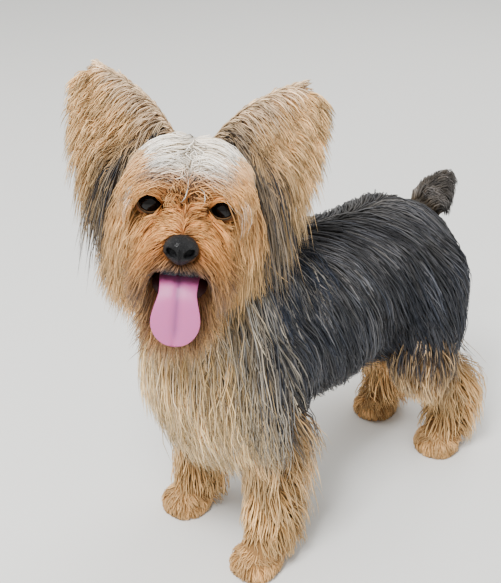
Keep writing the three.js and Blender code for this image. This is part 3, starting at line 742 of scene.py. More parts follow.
def trunk_lie(p, t, root):
    side = np.tanh(p[:, 0] / 4.0)
    top, breast = smooth(185, 218, p[:, 2]), smooth(-75, -110, p[:, 1])
    back = mix(mix(0.42, 0.95, top), -0.1, breast)
    return unit(np.stack([side * mix(0.12, 0.75, top), back, np.full(len(p), -1.0)], -1))


def neck_lie(p, t, root):
    v = p - NECK_AXIS
    return unit(np.stack([0.006 * v[:, 0], 0.004 * v[:, 1], np.full(len(p), -1.0)], -1))


def behind_leg(p):
    """1 where hair grows on the back of a leg, and 0 on its front."""
    return smooth(-2, 10, p[:, 1] - np.where(p[:, 1] < 0, *LEG_LINES))


def leg_lie(p, t, root):
    return unit(np.stack([np.zeros(len(p)), 0.1 + 0.35 * behind_leg(root), np.full(len(p), -1.0)], -1))


def tail_lie(p, t, root):
    side = np.tanh(p[:, 0] / 4.0)
    back, rise = mix(0.5, 0.2, t), mix(0.6, -1.3, t)
    return unit(np.stack([0.3 * side, np.full(len(p), back), np.full(len(p), rise)], -1))


# Ears: thin cups, with a front and a back that meet along the edge
def ear_frame(side):
    foot, tip = (in_head(side * a, b, c) for a, b, c in (EAR["foot"], EAR["tip"]))
    ahead = unit(tip - foot)
    front = FORWARD + 0.25 * side * LEFT
    front = unit(front - ahead * (front @ ahead))
    across = np.cross(ahead, front)
    outer = across * (1 if (across @ LEFT) * side > 0 else -1)
    return foot, tip, front, outer


def ear_point(side, t, s, layer):
    """A point of an ear: t from foot to tip, s from -1 inside to 1 outside, layer 0 behind and 1 in front."""
    foot, tip, front, outer = ear_frame(side)
    t, s = np.asarray(t, float), np.asarray(s, float)
    swell = np.sin(np.pi * mix(0.36, 0.965, t)) ** 0.8
    rim = np.sqrt(np.clip(1 - s * s, 0, 1))
    hollow = -EAR["deep"] * swell * rim + layer * EAR["wall"] * rim * np.minimum(1, 4 * (1 - t))
    centre = foot + np.multiply.outer(t, tip - foot)
    return centre + np.multiply.outer(EAR["wide"] * swell * s, outer) + np.multiply.outer(hollow, front)


def ear_shell(side):
    """The thin closed cup of an ear, which lies under its hair."""
    rows, columns = 26, 15
    t = np.linspace(0, 1, rows)
    s = np.linspace(-1, 1, columns)
    back = np.stack([ear_point(side, np.full(columns, one), s, 0.0) for one in t])
    front = np.stack([ear_point(side, np.full(columns - 2, one), s[1:-1][::-1], 1.0) for one in t])
    points, faces = rings_mesh(np.concatenate([back, front], 1))
    return points, facing_out(points, faces)


def bent_fall(start, first, length, drop, steps):
    """Paths that set out one way and bend down under their own weight."""
    s = np.linspace(0, 1, steps + 1)[None, :, None]
    length, drop = (np.asarray(v, float).reshape(-1, 1, 1) for v in (length, drop))
    fall = np.array([0, 0, -1.0])
    return start[:, None] + first[:, None] * (length * s * (1 - 0.3 * s)) + fall * (length * drop * s * s)


# Settings
def colour(name, description, hex_colour):
    return StringProperty(name=name, description=description, default=hex_colour)


def measure(name, description, usual, least):
    return FloatProperty(name=name, description=description, default=usual, min=least)


class TerrierColours(bpy.types.PropertyGroup):
    """Colours of hair, root and tip, and of the bare parts, as sRGB hex."""

    saddle: colour("Saddle", "Steel-blue hair at the root", "#0b0c0f")
    saddle_tip: colour("Saddle tip", "Steel-blue hair at the tip", "#3a3f4b")
    gold: colour("Gold", "Golden hair at the root", "#a8662f")
    gold_tip: colour("Gold tip", "Golden hair at the tip", "#ebb06a")
    cream: colour("Cream", "Cream-tan hair at the root", "#b59258")
    cream_tip: colour("Cream tip", "Cream-tan hair at the tip", "#f7ddab")
    silver: colour("Silver", "Silver hair at the root", "#ece2d2")
    silver_tip: colour("Silver tip", "Silver hair at the tip", "#fffcf5")
    grey: colour("Grey", "Grey hair at the root", "#85827c")
    grey_tip: colour("Grey tip", "Grey hair at the tip", "#d2ccc2")
    eye: colour("Eye", "Near-black brown of the eye", "#0d0807")
    nose: colour("Nose", "Black nose leather", "#070709")
    tongue: colour("Tongue", "Pink of the tongue", "#bb5e93")
    # the furrow and tongue root colours are painted shade on the tongue
    furrow: colour("Furrow", "Tongue down its middle", "#8f4a78")
    tongue_root: colour("Tongue root", "Tongue inside the mouth", "#8e3f58")
    mouth: colour("Mouth", "Dark red inside of the mouth", "#2a0b0d")
    claw: colour("Claw", "Dark horn of the claws", "#2a211d")
    floor: colour("Floor", "Pale floor and backdrop", "#e2e2df")
    daylight: colour("Daylight", "Light from all round", "#f3f2ef")


class TerrierCoat(bpy.types.PropertyGroup):
    """How thick, how fine and how long the coat is."""

    thickness: measure("Thickness", "Share of all tufts that are made", 1.0, 0.05)
    fineness: measure("Tuft width", "Width of a body tuft in mm", 1.35, 0.3)
    face: measure("Face tuft width", "Width of a face tuft in mm", 0.95, 0.2)
    length: measure("Length", "Length of the coat against the usual one", 1.0, 0.2)
    seed: IntProperty(name="Seed", description="Draws another coat of the same kind", default=SEED)


class TerrierSkin(bpy.types.PropertyGroup):
    """How fine the skin is meshed."""

    pitch: measure("Mesh pitch", "Size of a face of the skin in mm", 2.2, 0.8)


class Surfaces:
    """The skin that roots are spread over and the material of hair, kept once they have been made."""

    skin = None
    hair = None


def rng_for(name):
    return np.random.default_rng(bpy.context.scene.terrier_coat.seed * 1000 + sum(map(ord, name)))


def hair_material():
    if Surfaces.hair is None:
        Surfaces.hair = silky_hair(bpy.context.scene.terrier_colours)
    return Surfaces.hair


def lay_coat(
    name, slot, where, weight, lie, over, unwrap, *, count, length, lift, cling, width, thick,
    steps=4, wave=0.0, turns=1.0, stray=0.12, locks=0.06, pull=0.6, shade=0.16, blotch=None, face=False,
):
    """One piece of coat: weight says where it is thick, lie where it points and over what flesh it lies."""
    coat = bpy.context.scene.terrier_coat
    rng = rng_for(name)
    count = int(count * coat.thickness)
    root = scatter(rng, *Surfaces.skin, weight, count)
    vary = rng.uniform(0.72, 1.2, count)
    long = (length(root) if callable(length) else length) * vary * coat.length
    high = (lift(root) if callable(lift) else lift) * rng.uniform(0.35, 1.1, count)
    paths, outs = comb(root, lie, over, long, high, cling, steps, stray, rng)
    paths = waved(paths, outs, rng, wave * np.minimum(long / 40, 1.3), turns)
    paths, lock = gathered(paths, root, rng, locks, pull)
    paths[..., 2] = np.maximum(paths[..., 2], LOWEST)
    keep = keep_clear(paths) if face else np.ones(count, bool)
    mark = markings(root, where)
    if blotch:
        mark = blotch(mark, rng)
    wide = width * rng.uniform(0.7, 1.25, count)
    paths, outs, mark, root, wide, lock = (a[keep] for a in (paths, outs, mark, root, wide, lock))
    obj = tufts(name, paths, outs, wide, thick * wide / width, mark, unwrap(root), rng, shade, lock)
    place(obj, slot, hair_material())


def head_unwrap(p):
    return round_unwrap(p, in_head(0, -4, -20), FORWARD, UP, -60, 60)


def trunk_unwrap(p):
    return round_unwrap(p, (0, 0, 165), (0, 1, 0), (0, 0, 1), -150, 150)


def upright_unwrap(centre, low, high):
    return lambda p: round_unwrap(p, centre, (0, 0, 1), (0, 1, 0), low, high)


# Operators
class TerrierOperator:
    bl_options = {"REGISTER", "UNDO"}


class OBJECT_OT_terrier_skin(TerrierOperator, bpy.types.Operator):
    """Make the one skin of head, body, legs, tail and ears, with lids and lips"""

    bl_idname = "object.terrier_skin"
    bl_label = "Skin"

    def execute(self, context):
        pitch = context.scene.terrier_skin.pitch
        points, quads = surface(["torso", "neck", "head", "tail"] + LEGS + FEET, pitch)
        points[:, 2] = np.maximum(points[:, 2], 0.0)
        points = self.sockets(points)
        jaw_points, jaw_quads = surface(["jaw"], pitch)
        bodies = [(points, facing_out(points, [quads])), (jaw_points, facing_out(jaw_points, [jaw_quads]))]
        points, faces = joined(bodies)
        Surfaces.skin = (points, np.concatenate(faces))
        fields = field_of(points)
        mark = np.zeros((len(points), 4))
        for where in np.unique(fields):
            mark[fields == where] = markings(points[fields == where], where)
        bodies = [(points, [Surfaces.skin[1]])]
        marks = [mark]
        for side in (-1, 1):
            ear, (lids, lid_marks), lip = ear_shell(side), self.lid(side), self.lip(side)
            bodies += [ear, lids, lip]
            marks += [np.tile(EAR_SKIN, (len(ear[0]), 1)), lid_marks, np.tile(LIP_SKIN, (len(lip[0]), 1))]
        obj = new_object("skin", *joined(bodies))
        give(obj, "marking", np.concatenate(marks))
        place(obj, "face_coat", marked_skin(context.scene.terrier_colours), *FLESH)
        return {"FINISHED"}

    def sockets(self, points):
        """Sinks the skin behind each eye, inside the ball and its lids."""
        left, up, forward = head_place(points)
        room = EYE["radius"] + 1.1
        for side in (-1, 1):
            far = np.hypot(left - side * EYE["across"], up - EYE["up"])
            floor = EYE["forward"] - 2.5 + np.sqrt(np.maximum(room**2 - far**2, 0))
            sunk = (far < room - 0.5) & (forward > floor)
            points = points - np.multiply.outer(np.where(sunk, forward - floor, 0), FORWARD)
        return points

    def lid(self, side):
        """Both lids of an eye as one ring over the ball, thicker and dark along the gap between them."""
        around, layers = 48, 7
        turn = np.linspace(0, 2 * np.pi, around, endpoint=False)
        high = np.where(np.sin(turn) > 0, EYE_OPENING["high"], EYE_OPENING["low"])
        gap = np.hypot(EYE_OPENING["wide"] * np.cos(turn), high * np.abs(np.sin(turn)) ** 1.25)
        gap = np.arcsin(np.clip(gap / EYE["radius"], 0, 0.98))
        out = np.linspace(0, 1, layers)
        angle = gap[:, None] + (1.5 - gap[:, None]) * out[None] ** 1.3
        top = EYE["radius"] + 0.35 + 0.75 * np.exp(-((out / 0.12) ** 2)) + 1.0 * out
        under = np.full(layers, EYE["radius"] - 0.2)
        angle = np.concatenate([angle, angle[:, ::-1]], 1)
        radius = np.concatenate([top, under])[None]
        x, y = np.sin(angle) * np.cos(turn)[:, None], np.sin(angle) * np.sin(turn)[:, None]
        centre = in_head(side * EYE["across"], EYE["up"], EYE["forward"])
        grid = centre + along_head(radius * x, radius * y, radius * np.cos(angle))
        loop = 2 * layers
        r, c = np.meshgrid(np.arange(around), np.arange(loop), indexing="ij")
        n, m = (r + 1) % around, (c + 1) % loop
        quads = np.stack([r * loop + c, r * loop + m, n * loop + m, n * loop + c], -1).reshape(-1, 4)
        dark = np.concatenate([1 - smooth(0.1, 0.45, out)] * 2)
        mark = np.tile(np.stack([dark, 1 - dark, 0 * dark, 0 * dark], -1), (around, 1))
        points = grid.reshape(-1, 3)
        return (points, facing_out(points, [quads])), mark

    def lip(self, side):
        """The dark rounded edge of the upper lip on one side."""
        places = ((9, -33.5, 22), (14, -35.5, 12), (16.5, -38, 2), (16, -44, -6))
        line = spline([in_head(side * left, up, forward) for left, up, forward in places], 17)
        ahead = unit(np.gradient(line, axis=0))
        over = unit(np.cross(ahead, np.cross(FORWARD, ahead)))
        return rings_mesh(hoops(line, np.linspace(1.6, 2.4, 17), over, np.cross(ahead, over)))


class OBJECT_OT_terrier_eyes(TerrierOperator, bpy.types.Operator):
    """Make the two wet dark eyes"""

    bl_idname = "object.terrier_eyes"
    bl_label = "Eyes"

    def execute(self, context):
        dark = wet_surface("wet_eye", context.scene.terrier_colours.eye, 0.06, 0.0, shine=0.22)
        for name, side in SIDES:
            centre = in_head(side * EYE["across"], EYE["up"], EYE["forward"])
            ball = globe(centre, [EYE["radius"]] * 3, 32, 24)
            place(new_object("eyeball_" + name, *ball), "eye", dark, "eye_" + name)
        return {"FINISHED"}


class OBJECT_OT_terrier_nose(TerrierOperator, bpy.types.Operator):
    """Make the nose leather with its nostrils and the groove between them"""

    bl_idname = "object.terrier_nose"
    bl_label = "Nose"

    def execute(self, context):
        size = [NOSE["across"], NOSE["high"], NOSE["deep"]]
        points, faces = globe(in_head(0, NOSE["up"], NOSE["forward"]), size, 96, 72)
        left, up, forward = head_place(points)
        up, ahead = up - NOSE["up"], forward - NOSE["forward"]
        front = smooth(1.0, 4.0, ahead)
        sink = np.zeros(len(points))
        for side in (-1, 1):
            hole = np.hypot((side * left - 4.9) / 3.3, (up + 0.7 - 0.35 * (side * left - 4.9)) / 2.6)
            slit = np.hypot((side * left - 7.6) / 2.8, (up + 2.2) / 1.0)
            sink += 4.2 * (1 - smooth(0.55, 1.05, hole)) + 2.0 * (1 - smooth(0.5, 1.1, slit))
        sink += 0.9 * (1 - smooth(0.2, 1.0, np.abs(left))) * smooth(3.5, -1.0, up)
        swell = 0.8 * np.exp(-(((np.abs(left) - 5.5) / 3.5) ** 2 + ((up + 1) / 4.5) ** 2))
        points = points + np.multiply.outer(front * (swell - sink), FORWARD)
        squeeze = smooth(-1.0, -8.0, up)
        points = points - np.multiply.outer(left * 0.28 * squeeze, LEFT)
        colours = context.scene.terrier_colours
        leather = wet_surface("nose_leather", colours.nose, 0.45, 0.04, 1500.0, 0.00025, 0.22)
        place(new_object("nose_leather", points, faces), "nose", leather, "nose")
        return {"FINISHED"}


class OBJECT_OT_terrier_tongue(TerrierOperator, bpy.types.Operator):
    """Make the hanging tongue and the dark inside of the mouth"""

    bl_idname = "object.terrier_tongue"
    bl_label = "Tongue and mouth"

    def execute(self, context):
        colours = context.scene.terrier_colours
        rows, around = 60, 40
        places = ((-37.5, -8), (-37, 8), (-39.5, 22), (-48, 30), (-62, 31.5), (-77, 30.5))
        line = spline([in_head(0, up, forward) for up, forward in places], rows)
        t = np.linspace(0, 1, rows)[:, None]
        half = mix(mix(11.5, 10.8, smooth(0.35, 0.55, t)), 14.2, smooth(0.55, 0.8, t))
        half = half * np.sqrt(np.clip(1 - (np.clip(t - 0.8, 0, 1) / 0.2) ** 2, 0.003, 1))
        over = unit(np.cross(LEFT, unit(np.gradient(line, axis=0))))
        turn = np.linspace(0, 2 * np.pi, around, endpoint=False)[None]
        x, y = np.cos(turn), np.sin(turn)
        thick = 2.1 * (0.35 + 0.65 * np.sqrt(half / half.max()))
        groove = np.exp(-((x * 13 / 2.2) ** 2)) * (y < 0)
        height = thick * y * (1 - 0.35 * x**4) + groove - 1.6 * x * x * smooth(0.35, 0.8, t)
        rings = line[:, None] + (half * x)[..., None] * LEFT + height[..., None] * over[:, None]
        points, faces = rings_mesh(rings)
        obj = new_object("tongue_flesh", points, facing_out(points, faces))
        # painted shade: red darkens the furrow down the middle, green the part of the tongue inside the mouth
        shade = np.zeros((len(points), 4))
        furrow = np.exp(-((x * 13 / 1.8) ** 2)) * (y < 0)
        shade[: rows * around, 0] = (furrow * smooth(0.3, 0.5, t) * smooth(1.0, 0.85, t)).ravel()
        shade[: rows * around, 1] = np.repeat(1 - smooth(0.15, 0.5, t), around)
        give(obj, "furrow", shade)
        place(obj, "tongue", self.tongue_flesh(colours), "tongue")
        dark = wet_surface("wet_gum", colours.mouth, 0.55, 0.0, shine=0.15)
        for name, centre, radii in (
            ("mouth_roof", in_head(0, -38, -3), [17.0, 9.0, 24.0]),
            ("mouth_gum", in_head(0, -45, 7), [16.5, 12.0, 12.5]),
        ):
            place(new_object(name, *globe(centre, radii, 32, 20)), "tongue", dark)
        return {"FINISHED"}

    def tongue_flesh(self, colours):
        """Wet pink flesh with a fine grain, with painted shade down the furrow and inside the mouth."""
        material, tree = fresh_material("tongue_flesh")
        mark = node(tree, "ShaderNodeAttribute", {"attribute_name": "furrow"})
        split = node(tree, "ShaderNodeSeparateColor", inputs={"Color": mark.outputs["Color"]})
        pink = blend_colour(tree, linear(colours.tongue), linear(colours.furrow), split.outputs["Red"])
        pink = blend_colour(tree, pink, linear(colours.tongue_root), split.outputs["Green"])
        grain = node(tree, "ShaderNodeTexNoise", inputs={"Scale": 1400.0, "Detail": 2.0})
        shader = node(
            tree,
            "ShaderNodeBsdfPrincipled",
            inputs={
                "Base Color": pink,
                "Roughness": 0.42,
                "Subsurface Weight": 0.15,
                "Subsurface Scale": 0.003,
                "Normal": bumped(tree, grain.outputs["Fac"], 0.25, 0.0003),
            },
        )
        finish_material(tree, shader)
        return material


class OBJECT_OT_terrier_claws(TerrierOperator, bpy.types.Operator):
    """Make four claws on each foot"""

    bl_idname = "object.terrier_claws"
    bl_label = "Claws"

    def execute(self, context):
        bodies = []
        for x, y, _ in PAWS.values():
            for toe_x, toe_y in TOES:
                places = ((1, -4, 6.5), (1.03, -8, 5.6), (1.05, -11, 2.6))
                line = spline([(x + toe_x * spread, y + toe_y + ahead, z) for spread, ahead, z in places], 8)
                across, upright = (np.broadcast_to(way, line.shape) for way in ((1.0, 0, 0), (0, 0, 1.0)))
                points, faces = rings_mesh(hoops(line, np.linspace(1.6, 0.25, 8), across, upright))
                bodies.append((points, facing_out(points, faces)))
        horn = wet_surface("claw_horn", context.scene.terrier_colours.claw, 0.35, 0.1)
        place(new_object("claws", *joined(bodies)), "paw", horn)
        return {"FINISHED"}


class OBJECT_OT_terrier_head_coat(TerrierOperator, bpy.types.Operator):
    """Lay the hair of the crown, brows, cheeks, muzzle and beard"""

    bl_idname = "object.terrier_head_coat"
    bl_label = "Head coat"

    def execute(self, context):
        fine = context.scene.terrier_coat.face

        def lay(name, weight, lie, over=("head", "jaw", "lids"), **values):
            lay_coat("coat_" + name, "face_coat", "head", weight, lie, over, head_unwrap, face=True, **values)

        def crown(p):
            _, up, forward = head_place(p)
            brow = smooth(20, 12, up) * smooth(-24, -16, forward)
            return region(p, "head") * smooth(2, 12, up) * smooth(-80, -60, forward) * (1 - 0.9 * brow)

        def crown_length(p):
            left, _, forward = head_place(p)
            return mix(48, 26, smooth(-34, -16, forward) * smooth(12, 4, np.abs(left)))

        lay(
            "crown", crown, head_lie, count=4200, length=crown_length, lift=9, cling=0.55, width=fine,
            thick=0.6, wave=2.2, stray=0.14, shade=0.12, blotch=speckled, pull=0.75,
        )

        def brow(p):
            left, up, forward = head_place(p)
            near = smooth(-4, 3, up) * smooth(26, 18, up) * smooth(-28, -18, forward)
            return region(p, "head") * near * smooth(29, 22, np.abs(left))

        lay(
            "brow", brow, brow_lie, count=3300, length=24, lift=10, cling=0.45, width=0.8 * fine,
            thick=0.5, wave=0.8, stray=0.1, shade=0.14, pull=0.5,
        )

        def arc(p):
            left, up, _ = head_place(p)
            inner = np.abs(np.abs(left) - 4.5) < 2.5
            return region(p, "head") * smooth(1, 4, up) * smooth(14, 9, up) * inner

        lay(
            "brow_arcs", arc, arc_lie, count=44, length=36, lift=13, cling=0.5, width=0.8 * fine,
            thick=0.6, steps=7, stray=0.07, locks=0.15, pull=0.4, blotch=dark_strands,
        )
        for name, side in SIDES:

            def cheek(p, side=side):
                left, up, forward = head_place(p)
                face = smooth(11, 16, np.abs(left)) * smooth(16, 4, up) * smooth(20, 8, forward)
                return region(p, "head", "jaw") * (side * left > 0) * face * smooth(-75, -50, forward)

            def cheek_length(p):
                _, up, forward = head_place(p)
                return mix(26, 70, smooth(4, -24, forward)) * mix(1.0, 0.8, smooth(-10, 8, up))

            def cheek_lift(p):
                _, up, forward = head_place(p)
                return mix(8, 27, smooth(4, -24, forward)) * mix(1.0, 0.8, smooth(-5, 10, up))

            lay(
                "cheek_" + name, cheek, head_lie, count=4600, length=cheek_length, lift=cheek_lift, cling=0.2,
                width=1.1 * fine, thick=0.6, wave=2.4, turns=1.2, stray=0.13,
            )

        def muzzle(p):
            left, up, forward = head_place(p)
            snout = smooth(-16, -8, forward) * smooth(8, 0, up) * smooth(25, 18, np.abs(left))
            return region(p, "head") * snout * (1 + 2.5 * smooth(20, 27, forward))

        def muzzle_length(p):
            left, up, forward = head_place(p)
            low = smooth(-8, -24, up) * smooth(6, 12, np.abs(left))
            return mix(9, 46, low) * mix(0.55, 1, smooth(38, 24, forward))

        def muzzle_lift(p):
            left, up, _ = head_place(p)
            return mix(3.2, 17, smooth(-8, -24, up) * smooth(5, 12, np.abs(left)))

        lay(
            "muzzle", muzzle, muzzle_lie, count=7600, length=muzzle_length, lift=muzzle_lift, cling=0.35,
            width=0.8 * fine, thick=0.5, wave=1.2, pull=0.45,
        )

        def chin(p):
            return region(p, "jaw") * smooth(-36, -42, head_place(p)[1])

        lay(
            "beard", chin, beard_lie, ("jaw",), count=3000, length=50, lift=16, cling=0.1, width=fine,
            thick=0.6, wave=2.4, turns=1.3, stray=0.14,
        )
        return {"FINISHED"}


class OBJECT_OT_terrier_ear_coat(TerrierOperator, bpy.types.Operator):
    """Lay the hair of both ears, with the long fringe of the outer edge"""

    bl_idname = "object.terrier_ear_coat"
    bl_label = "Ear coat"

    def execute(self, context):
        coat = context.scene.terrier_coat
        for name, side in SIDES:
            rng = rng_for("ear" + name)
            areas = self.areas(side, rng, coat.thickness)
            start, first, long, drop, mark, t, s = (np.concatenate(column) for column in zip(*areas))
            first = unit(first + rng.normal(0, 0.09, first.shape))
            paths = bent_fall(start, first, long, drop, 4)
            front = ear_frame(side)[2]
            outs = np.broadcast_to(front, paths.shape)
            paths = waved(paths, outs, rng, 1.3 * np.minimum(long / 40, 1.2), 1.0)
            paths, lock = gathered(paths, start, rng, 0.06, 0.6)
            wide = coat.face * rng.uniform(0.7, 1.2, len(long))
            spread = np.stack([(s + 1) / 2, t], -1)
            deep = 0.6 * wide / coat.face
            obj = tufts("coat_ear_" + name, paths, outs, wide, deep, mark, spread, rng, 0.2, lock)
            place(obj, "ear_coat", hair_material())
        return {"FINISHED"}

    def areas(self, side, rng, thickness):
        """Start, way, length, droop, markings and place of the hair on each area of an ear."""
        foot, tip, front, outer = ear_frame(side)
        rise = unit(tip - foot)
        made = []

        def area(count, t, s, layer, way, long, drop, dark, gold, silver, grey):
            mark = np.stack([np.broadcast_to(v, count) for v in (dark, gold, silver, grey)], -1)
            start = ear_point(side, t, s, layer)
            made.append((start, way, long, np.broadcast_to(drop, count), np.clip(mark, 0, 1), t, s))

        def over_rim(t, s, layer, margin):
            """The way from a place on the ear across the hollow and over its outer edge."""
            edge = ear_point(side, np.clip(t + 0.04, 0, 1), np.full(len(t), 1.0), 1.0) + margin * front
            return unit(edge - ear_point(side, t, s, layer) + 1e-3 * outer)

        # silky hair combed from the inner edge across the hollow and over the outer edge
        n = int(2300 * thickness)
        t, s = rng.uniform(0.0, 0.98, n), rng.uniform(-1.0, 0.97, n)
        way = over_rim(t, s, 1.0, 2.0) * 0.9 + rise * rng.uniform(0.1, 0.8, (n, 1))
        way = way + front * rng.uniform(0.0, 0.25, (n, 1))
        # darker towards the foot, the dark hair at the foot of the ear; darker down the middle of the cup,
        # painted shade in the hollow
        dark = 0.8 * smooth(0.5, 0.1, t) + 0.25 * smooth(0.2, -0.3, np.abs(s)) + 0.12 * (rng.random(n) < 0.4)
        dark = dark * rng.uniform(0.3, 1.3, n)
        long = mix(32, 22, t) * rng.uniform(0.6, 1.2, n)
        area(n, t, s, 1.0, way, long, 0.5, dark, 0.4, 0.3 * smooth(-0.6, -1, s), 0.05)
        # the fringe that falls from the outer edge
        n = int(1700 * thickness)
        t, s = rng.uniform(0.02, 1.0, n) ** 0.9, rng.uniform(0.75, 1.0, n)
        face = np.where(rng.random(n) < 0.6, 1.0, 0.0)
        lean = (face * 0.5 - 0.15)[:, None] * rng.uniform(0.4, 1.2, (n, 1))
        way = outer * 1.0 + UP * (mix(-0.6, 0.6, t)[:, None]) + front * lean
        dark = 0.85 * smooth(0.5, 0.1, t) * rng.uniform(0.0, 1.3, n)
        long = mix(52, 24, t) * rng.uniform(0.55, 1.15, n)
        area(n, t, s, face, way, long, mix(0.8, 0.4, t), dark, 0.36, 0.0, 0.05)
        # dark strands that fall beside the face from the foot of the ear
        n = int(420 * thickness)
        t, s = rng.uniform(0.0, 0.3, n), rng.uniform(-0.9, 0.9, n)
        way = outer * rng.uniform(0.2, 0.7, (n, 1)) + front * 0.75 - UP * 0.3
        area(n, t, s, 1.0, way, rng.uniform(38, 66, n), 0.9, rng.uniform(0.55, 1.0, n), 0.2, 0.0, 0.3)
        # short hair on the back
        n = int(850 * thickness)
        t, s = rng.uniform(0.0, 1.0, n), rng.uniform(-1.0, 1.0, n)
        way = outer * (0.5 + 0.5 * s[:, None]) + rise * 0.8 - front * 0.22
        area(n, t, s, 0.0, way, 13 * rng.uniform(0.7, 1.2, n), 0.15, 0.3, 0.5, 0.0, 0.1)
        # the smooth edge from the crown to the tip, and the brush of the tip
        n = int(600 * thickness)
        t, s = rng.uniform(0.0, 1.0, n) ** 0.8, rng.uniform(-1.0, -0.9, n)
        face = np.where(rng.random(n) < 0.6, 1.0, 0.0)
        way = rise * 1.0 + outer * rng.uniform(-0.15, 0.5, (n, 1)) + front * (face * 0.3 - 0.1)[:, None]
        area(n, t, s, face, way, 15 * rng.uniform(0.6, 1.1, n), 0.3, 0.0, 0.3, 0.25, 0.0)
        return made


class OBJECT_OT_terrier_body_coat(TerrierOperator, bpy.types.Operator):
    """Lay the long hair of neck, chest, flanks and tail"""

    bl_idname = "object.terrier_body_coat"
    bl_label = "Body coat"

    def execute(self, context):
        wide = context.scene.terrier_coat.fineness
        finer = 0.9 * wide

        def nape(p):
            _, up, forward = head_place(p)
            return region(p, "head") * smooth(-52, -66, forward) * smooth(24, 10, up)

        def neck(p):
            return region(p, "neck")

        def neck_lift(p):
            return mix(20, 8, smooth(-104, -84, p[:, 1]))

        def chest(p):
            return region(p, "torso") * smooth(-80, -98, p[:, 1])

        def flank_length(p):
            return mix(56, 70, smooth(200, 150, p[:, 2]))

        def flank_lift(p):
            return mix(6, 14, smooth(212, 180, p[:, 2]))

        lay_coat(
            "coat_neck", "chest_coat", "trunk", neck, neck_lie, ["neck", "torso"],
            upright_unwrap(NECK_AXIS, 180, 270), count=2900, length=78, lift=neck_lift, cling=0.55,
            width=finer, thick=0.8, wave=3.2, turns=1.3, stray=0.1, shade=0.22, blotch=grizzled,
            locks=0.05, pull=0.7,
        )
        lay_coat(
            "coat_nape", "face_coat", "head", nape, head_lie, ["head", "neck"], head_unwrap, count=1000,
            length=42, lift=11, cling=0.5, width=finer, thick=0.7, wave=1.5,
        )
        lay_coat(
            "coat_chest", "chest_coat", "trunk", chest, chest_lie, ["torso"],
            upright_unwrap((0, -84, 0), 90, 230), count=4600, length=80, lift=23, cling=0.25, width=finer,
            thick=0.8, wave=3.8, turns=1.3, stray=0.1, shade=0.2, blotch=grizzled, locks=0.05, pull=0.7,
        )
        for name, side in SIDES:

            def flank(p, side=side):
                belly = mix(0.15, 1, smooth(112, 128, p[:, 2]))
                return region(p, "torso") * (side * p[:, 0] > 0) * smooth(-104, -84, p[:, 1]) * belly

            lay_coat(
                "coat_flank_" + name, "body_coat", "trunk", flank, trunk_lie, ["torso", "neck"], trunk_unwrap,
                count=5600, length=flank_length, lift=flank_lift, cling=0.45, width=wide, thick=0.8, wave=1.6,
                turns=0.8, stray=0.06, shade=0.3, blotch=streaked, locks=0.05, pull=0.6,
            )

        def tail(p):
            return region(p, "tail")

        lay_coat(
            "coat_tail", "body_coat", "tail", tail, tail_lie, ["tail"], upright_unwrap((0, 125, 0), 170, 240),
            count=1100, length=20, lift=3, cling=0.2, width=finer, thick=0.8, wave=1.5, shade=0.3,
        )
        return {"FINISHED"}


class OBJECT_OT_terrier_leg_coat(TerrierOperator, bpy.types.Operator):
    """Lay the hair of the legs with their feathering, and the short hair of the feet"""

    bl_idname = "object.terrier_leg_coat"
    bl_label = "Leg coat"

    def execute(self, context):
        coat = context.scene.terrier_coat

        def length(p):
            feathering = mix(44, 60, smooth(55, 90, p[:, 2]))
            return np.minimum(mix(30, feathering, behind_leg(p)), np.maximum(p[:, 2] - 4, 5))

        def lift(p):
            return 9 + mix(8, 15, smooth(55, 90, p[:, 2])) * behind_leg(p)

        for name, (x, y, _) in PAWS.items():
            shank, paw = "leg_" + name, "paw_" + name

            def leg(p, shank=shank):
                return region(p, shank) * (p[:, 2] > 8)

            def foot(p, paw=paw):
                return region(p, paw) * (p[:, 2] > 1.5)

            lay_coat(
                "coat_" + shank, "leg_coat", "leg", leg, leg_lie, [shank], upright_unwrap((x, y, 0), 0, 160),
                count=1600, length=length, lift=lift, cling=0.2, width=0.9 * coat.fineness, thick=0.7,
                wave=2.6, stray=0.13, shade=0.2, pull=0.65, blotch=streaked,
            )
            lay_coat(
                "coat_" + paw, "paw", "leg", foot, leg_lie, [paw], upright_unwrap((x, y, 0), 0, 22),
                count=1000, length=11, lift=3.2, cling=0.5, width=coat.face, thick=0.5, steps=3, stray=0.2,
            )
        return {"FINISHED"}


